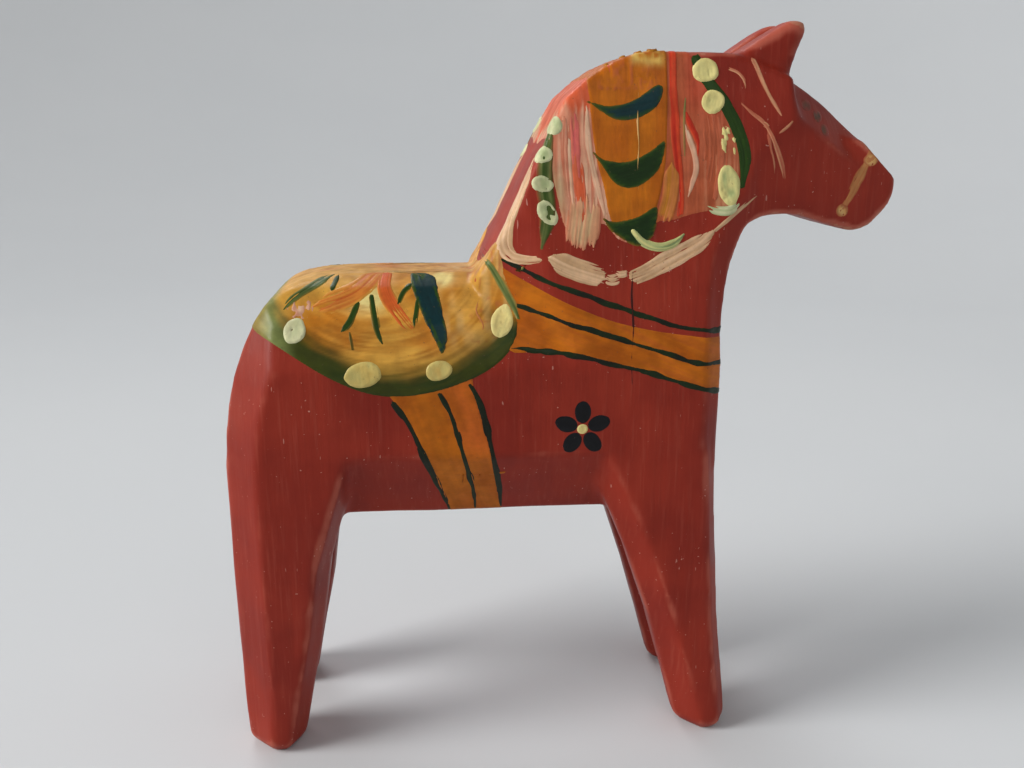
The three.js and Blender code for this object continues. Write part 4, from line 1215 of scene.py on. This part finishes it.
def makeRoom():
    # a pale paper bowl: flat floor, a quarter circle up, then a wall, all turned about the upright axis
    turn = np.linspace(0, 2 * np.pi, 97)[:-1]
    bend = np.linspace(0, np.pi / 2, 13)
    edge = room["flat"] + room["rise"]
    radius = np.concatenate([[1e-6, 0.1, 0.2, 0.3], room["flat"] + room["rise"] * np.sin(bend), [edge]])
    height = np.concatenate([[0, 0, 0, 0], room["rise"] * (1 - np.cos(bend)), [room["wall"]]])
    ring = np.stack([np.cos(turn), np.sin(turn)], -1)
    verts = np.concatenate([np.column_stack([ring * r, np.full(len(turn), h)])
                            for r, h in zip(radius, height)])
    index = np.arange(len(verts)).reshape(len(radius), len(turn))
    after = np.roll(index, -1, 1)
    quads = np.stack([index[:-1], index[1:], after[1:], after[:-1]], -1).reshape(-1, 4)
    mesh = newMesh("paperFloor", verts, quads)
    material = bpy.data.materials.new("palePaper")
    add = nodeTool(material)
    shade = ramp(add, cells(add, 9.0, 3.0), 0.3, 0.7, 0.0, 0.25)
    surface(add, {"Base Color": mixColour(add, shade, room["paper"], room["cloud"], "MULTIPLY")}, 0.25,
            Roughness=0.75)
    mesh.materials.append(material)
    addObject("paperFloor", mesh)
    scene.world = bpy.data.worlds.new("room")
    scene.world.use_nodes = True
    background = scene.world.node_tree.nodes["Background"]
    background.inputs[0].default_value = room["sky"]
    background.inputs[1].default_value = room["skyPower"]


lights = {  # metres and watts; the cone, in degrees, makes it a spot
    "window": dict(place=(-1.5, -0.30, 1.15), size=0.9, power=21.0, colour=(1.0, 0.99, 0.97)),
    "lowWindow": dict(place=(-0.80, -0.22, 0.34), size=0.5, power=28.0, colour=(1.0, 0.99, 0.97), cone=46),
    "behind": dict(place=(-0.5, 1.1, 1.3), size=0.8, power=7.5, colour=(0.98, 0.99, 1.0)),
    "front": dict(place=(0.3, -1.3, 1.0), size=0.8, power=1.6, colour=(1.0, 0.99, 0.98)),
}
lightAim = (0, 0, 0.05)  # the middle of the horse, which they all face


def makeLights():  # each is turned so that its own downward axis points from its place to the aim
    for name, light in lights.items():
        if "cone" in light:
            data = bpy.data.lights.new(name, "SPOT")
            data.spot_size = np.radians(light["cone"])
            data.spot_blend = 1.0
            data.shadow_soft_size = light["size"] / 2
        else:
            data = bpy.data.lights.new(name, "AREA")
            data.shape = "DISK"
            data.size = light["size"]
        data.energy = light["power"]
        data.color = light["colour"]
        thing = addObject(name, data)
        thing.location = light["place"]
        aim = np.array(lightAim) - light["place"]
        thing.rotation_euler = (np.arctan2(np.hypot(aim[0], aim[1]), -aim[2]), 0, np.arctan2(-aim[0], aim[1]))
        thing.visible_camera = False


scene.view_settings.view_transform = "Standard"
makeCamera()
block = makeWood()
block.data.materials.clear()
block.data.materials.append(makeRedPaint())
for title, make in (
    ("saddle cloth", makeSaddle), ("saddle marks", makeSaddleMarks), ("collar", makeCollar),
    ("collar lines", makeCollarLines), ("girth", makeGirth), ("mane grounds", makeManeGrounds),
    ("mane marks", makeManeMarks), ("head marks", makeHeadMarks), ("flower", makeFlower),
    ("cracks", makeCracks),
):
    make()
    print(f"{title}: {len(films)} films drawn so far")
layFilms(block)
makeRoom()
makeLights()
print("room and lights: done")
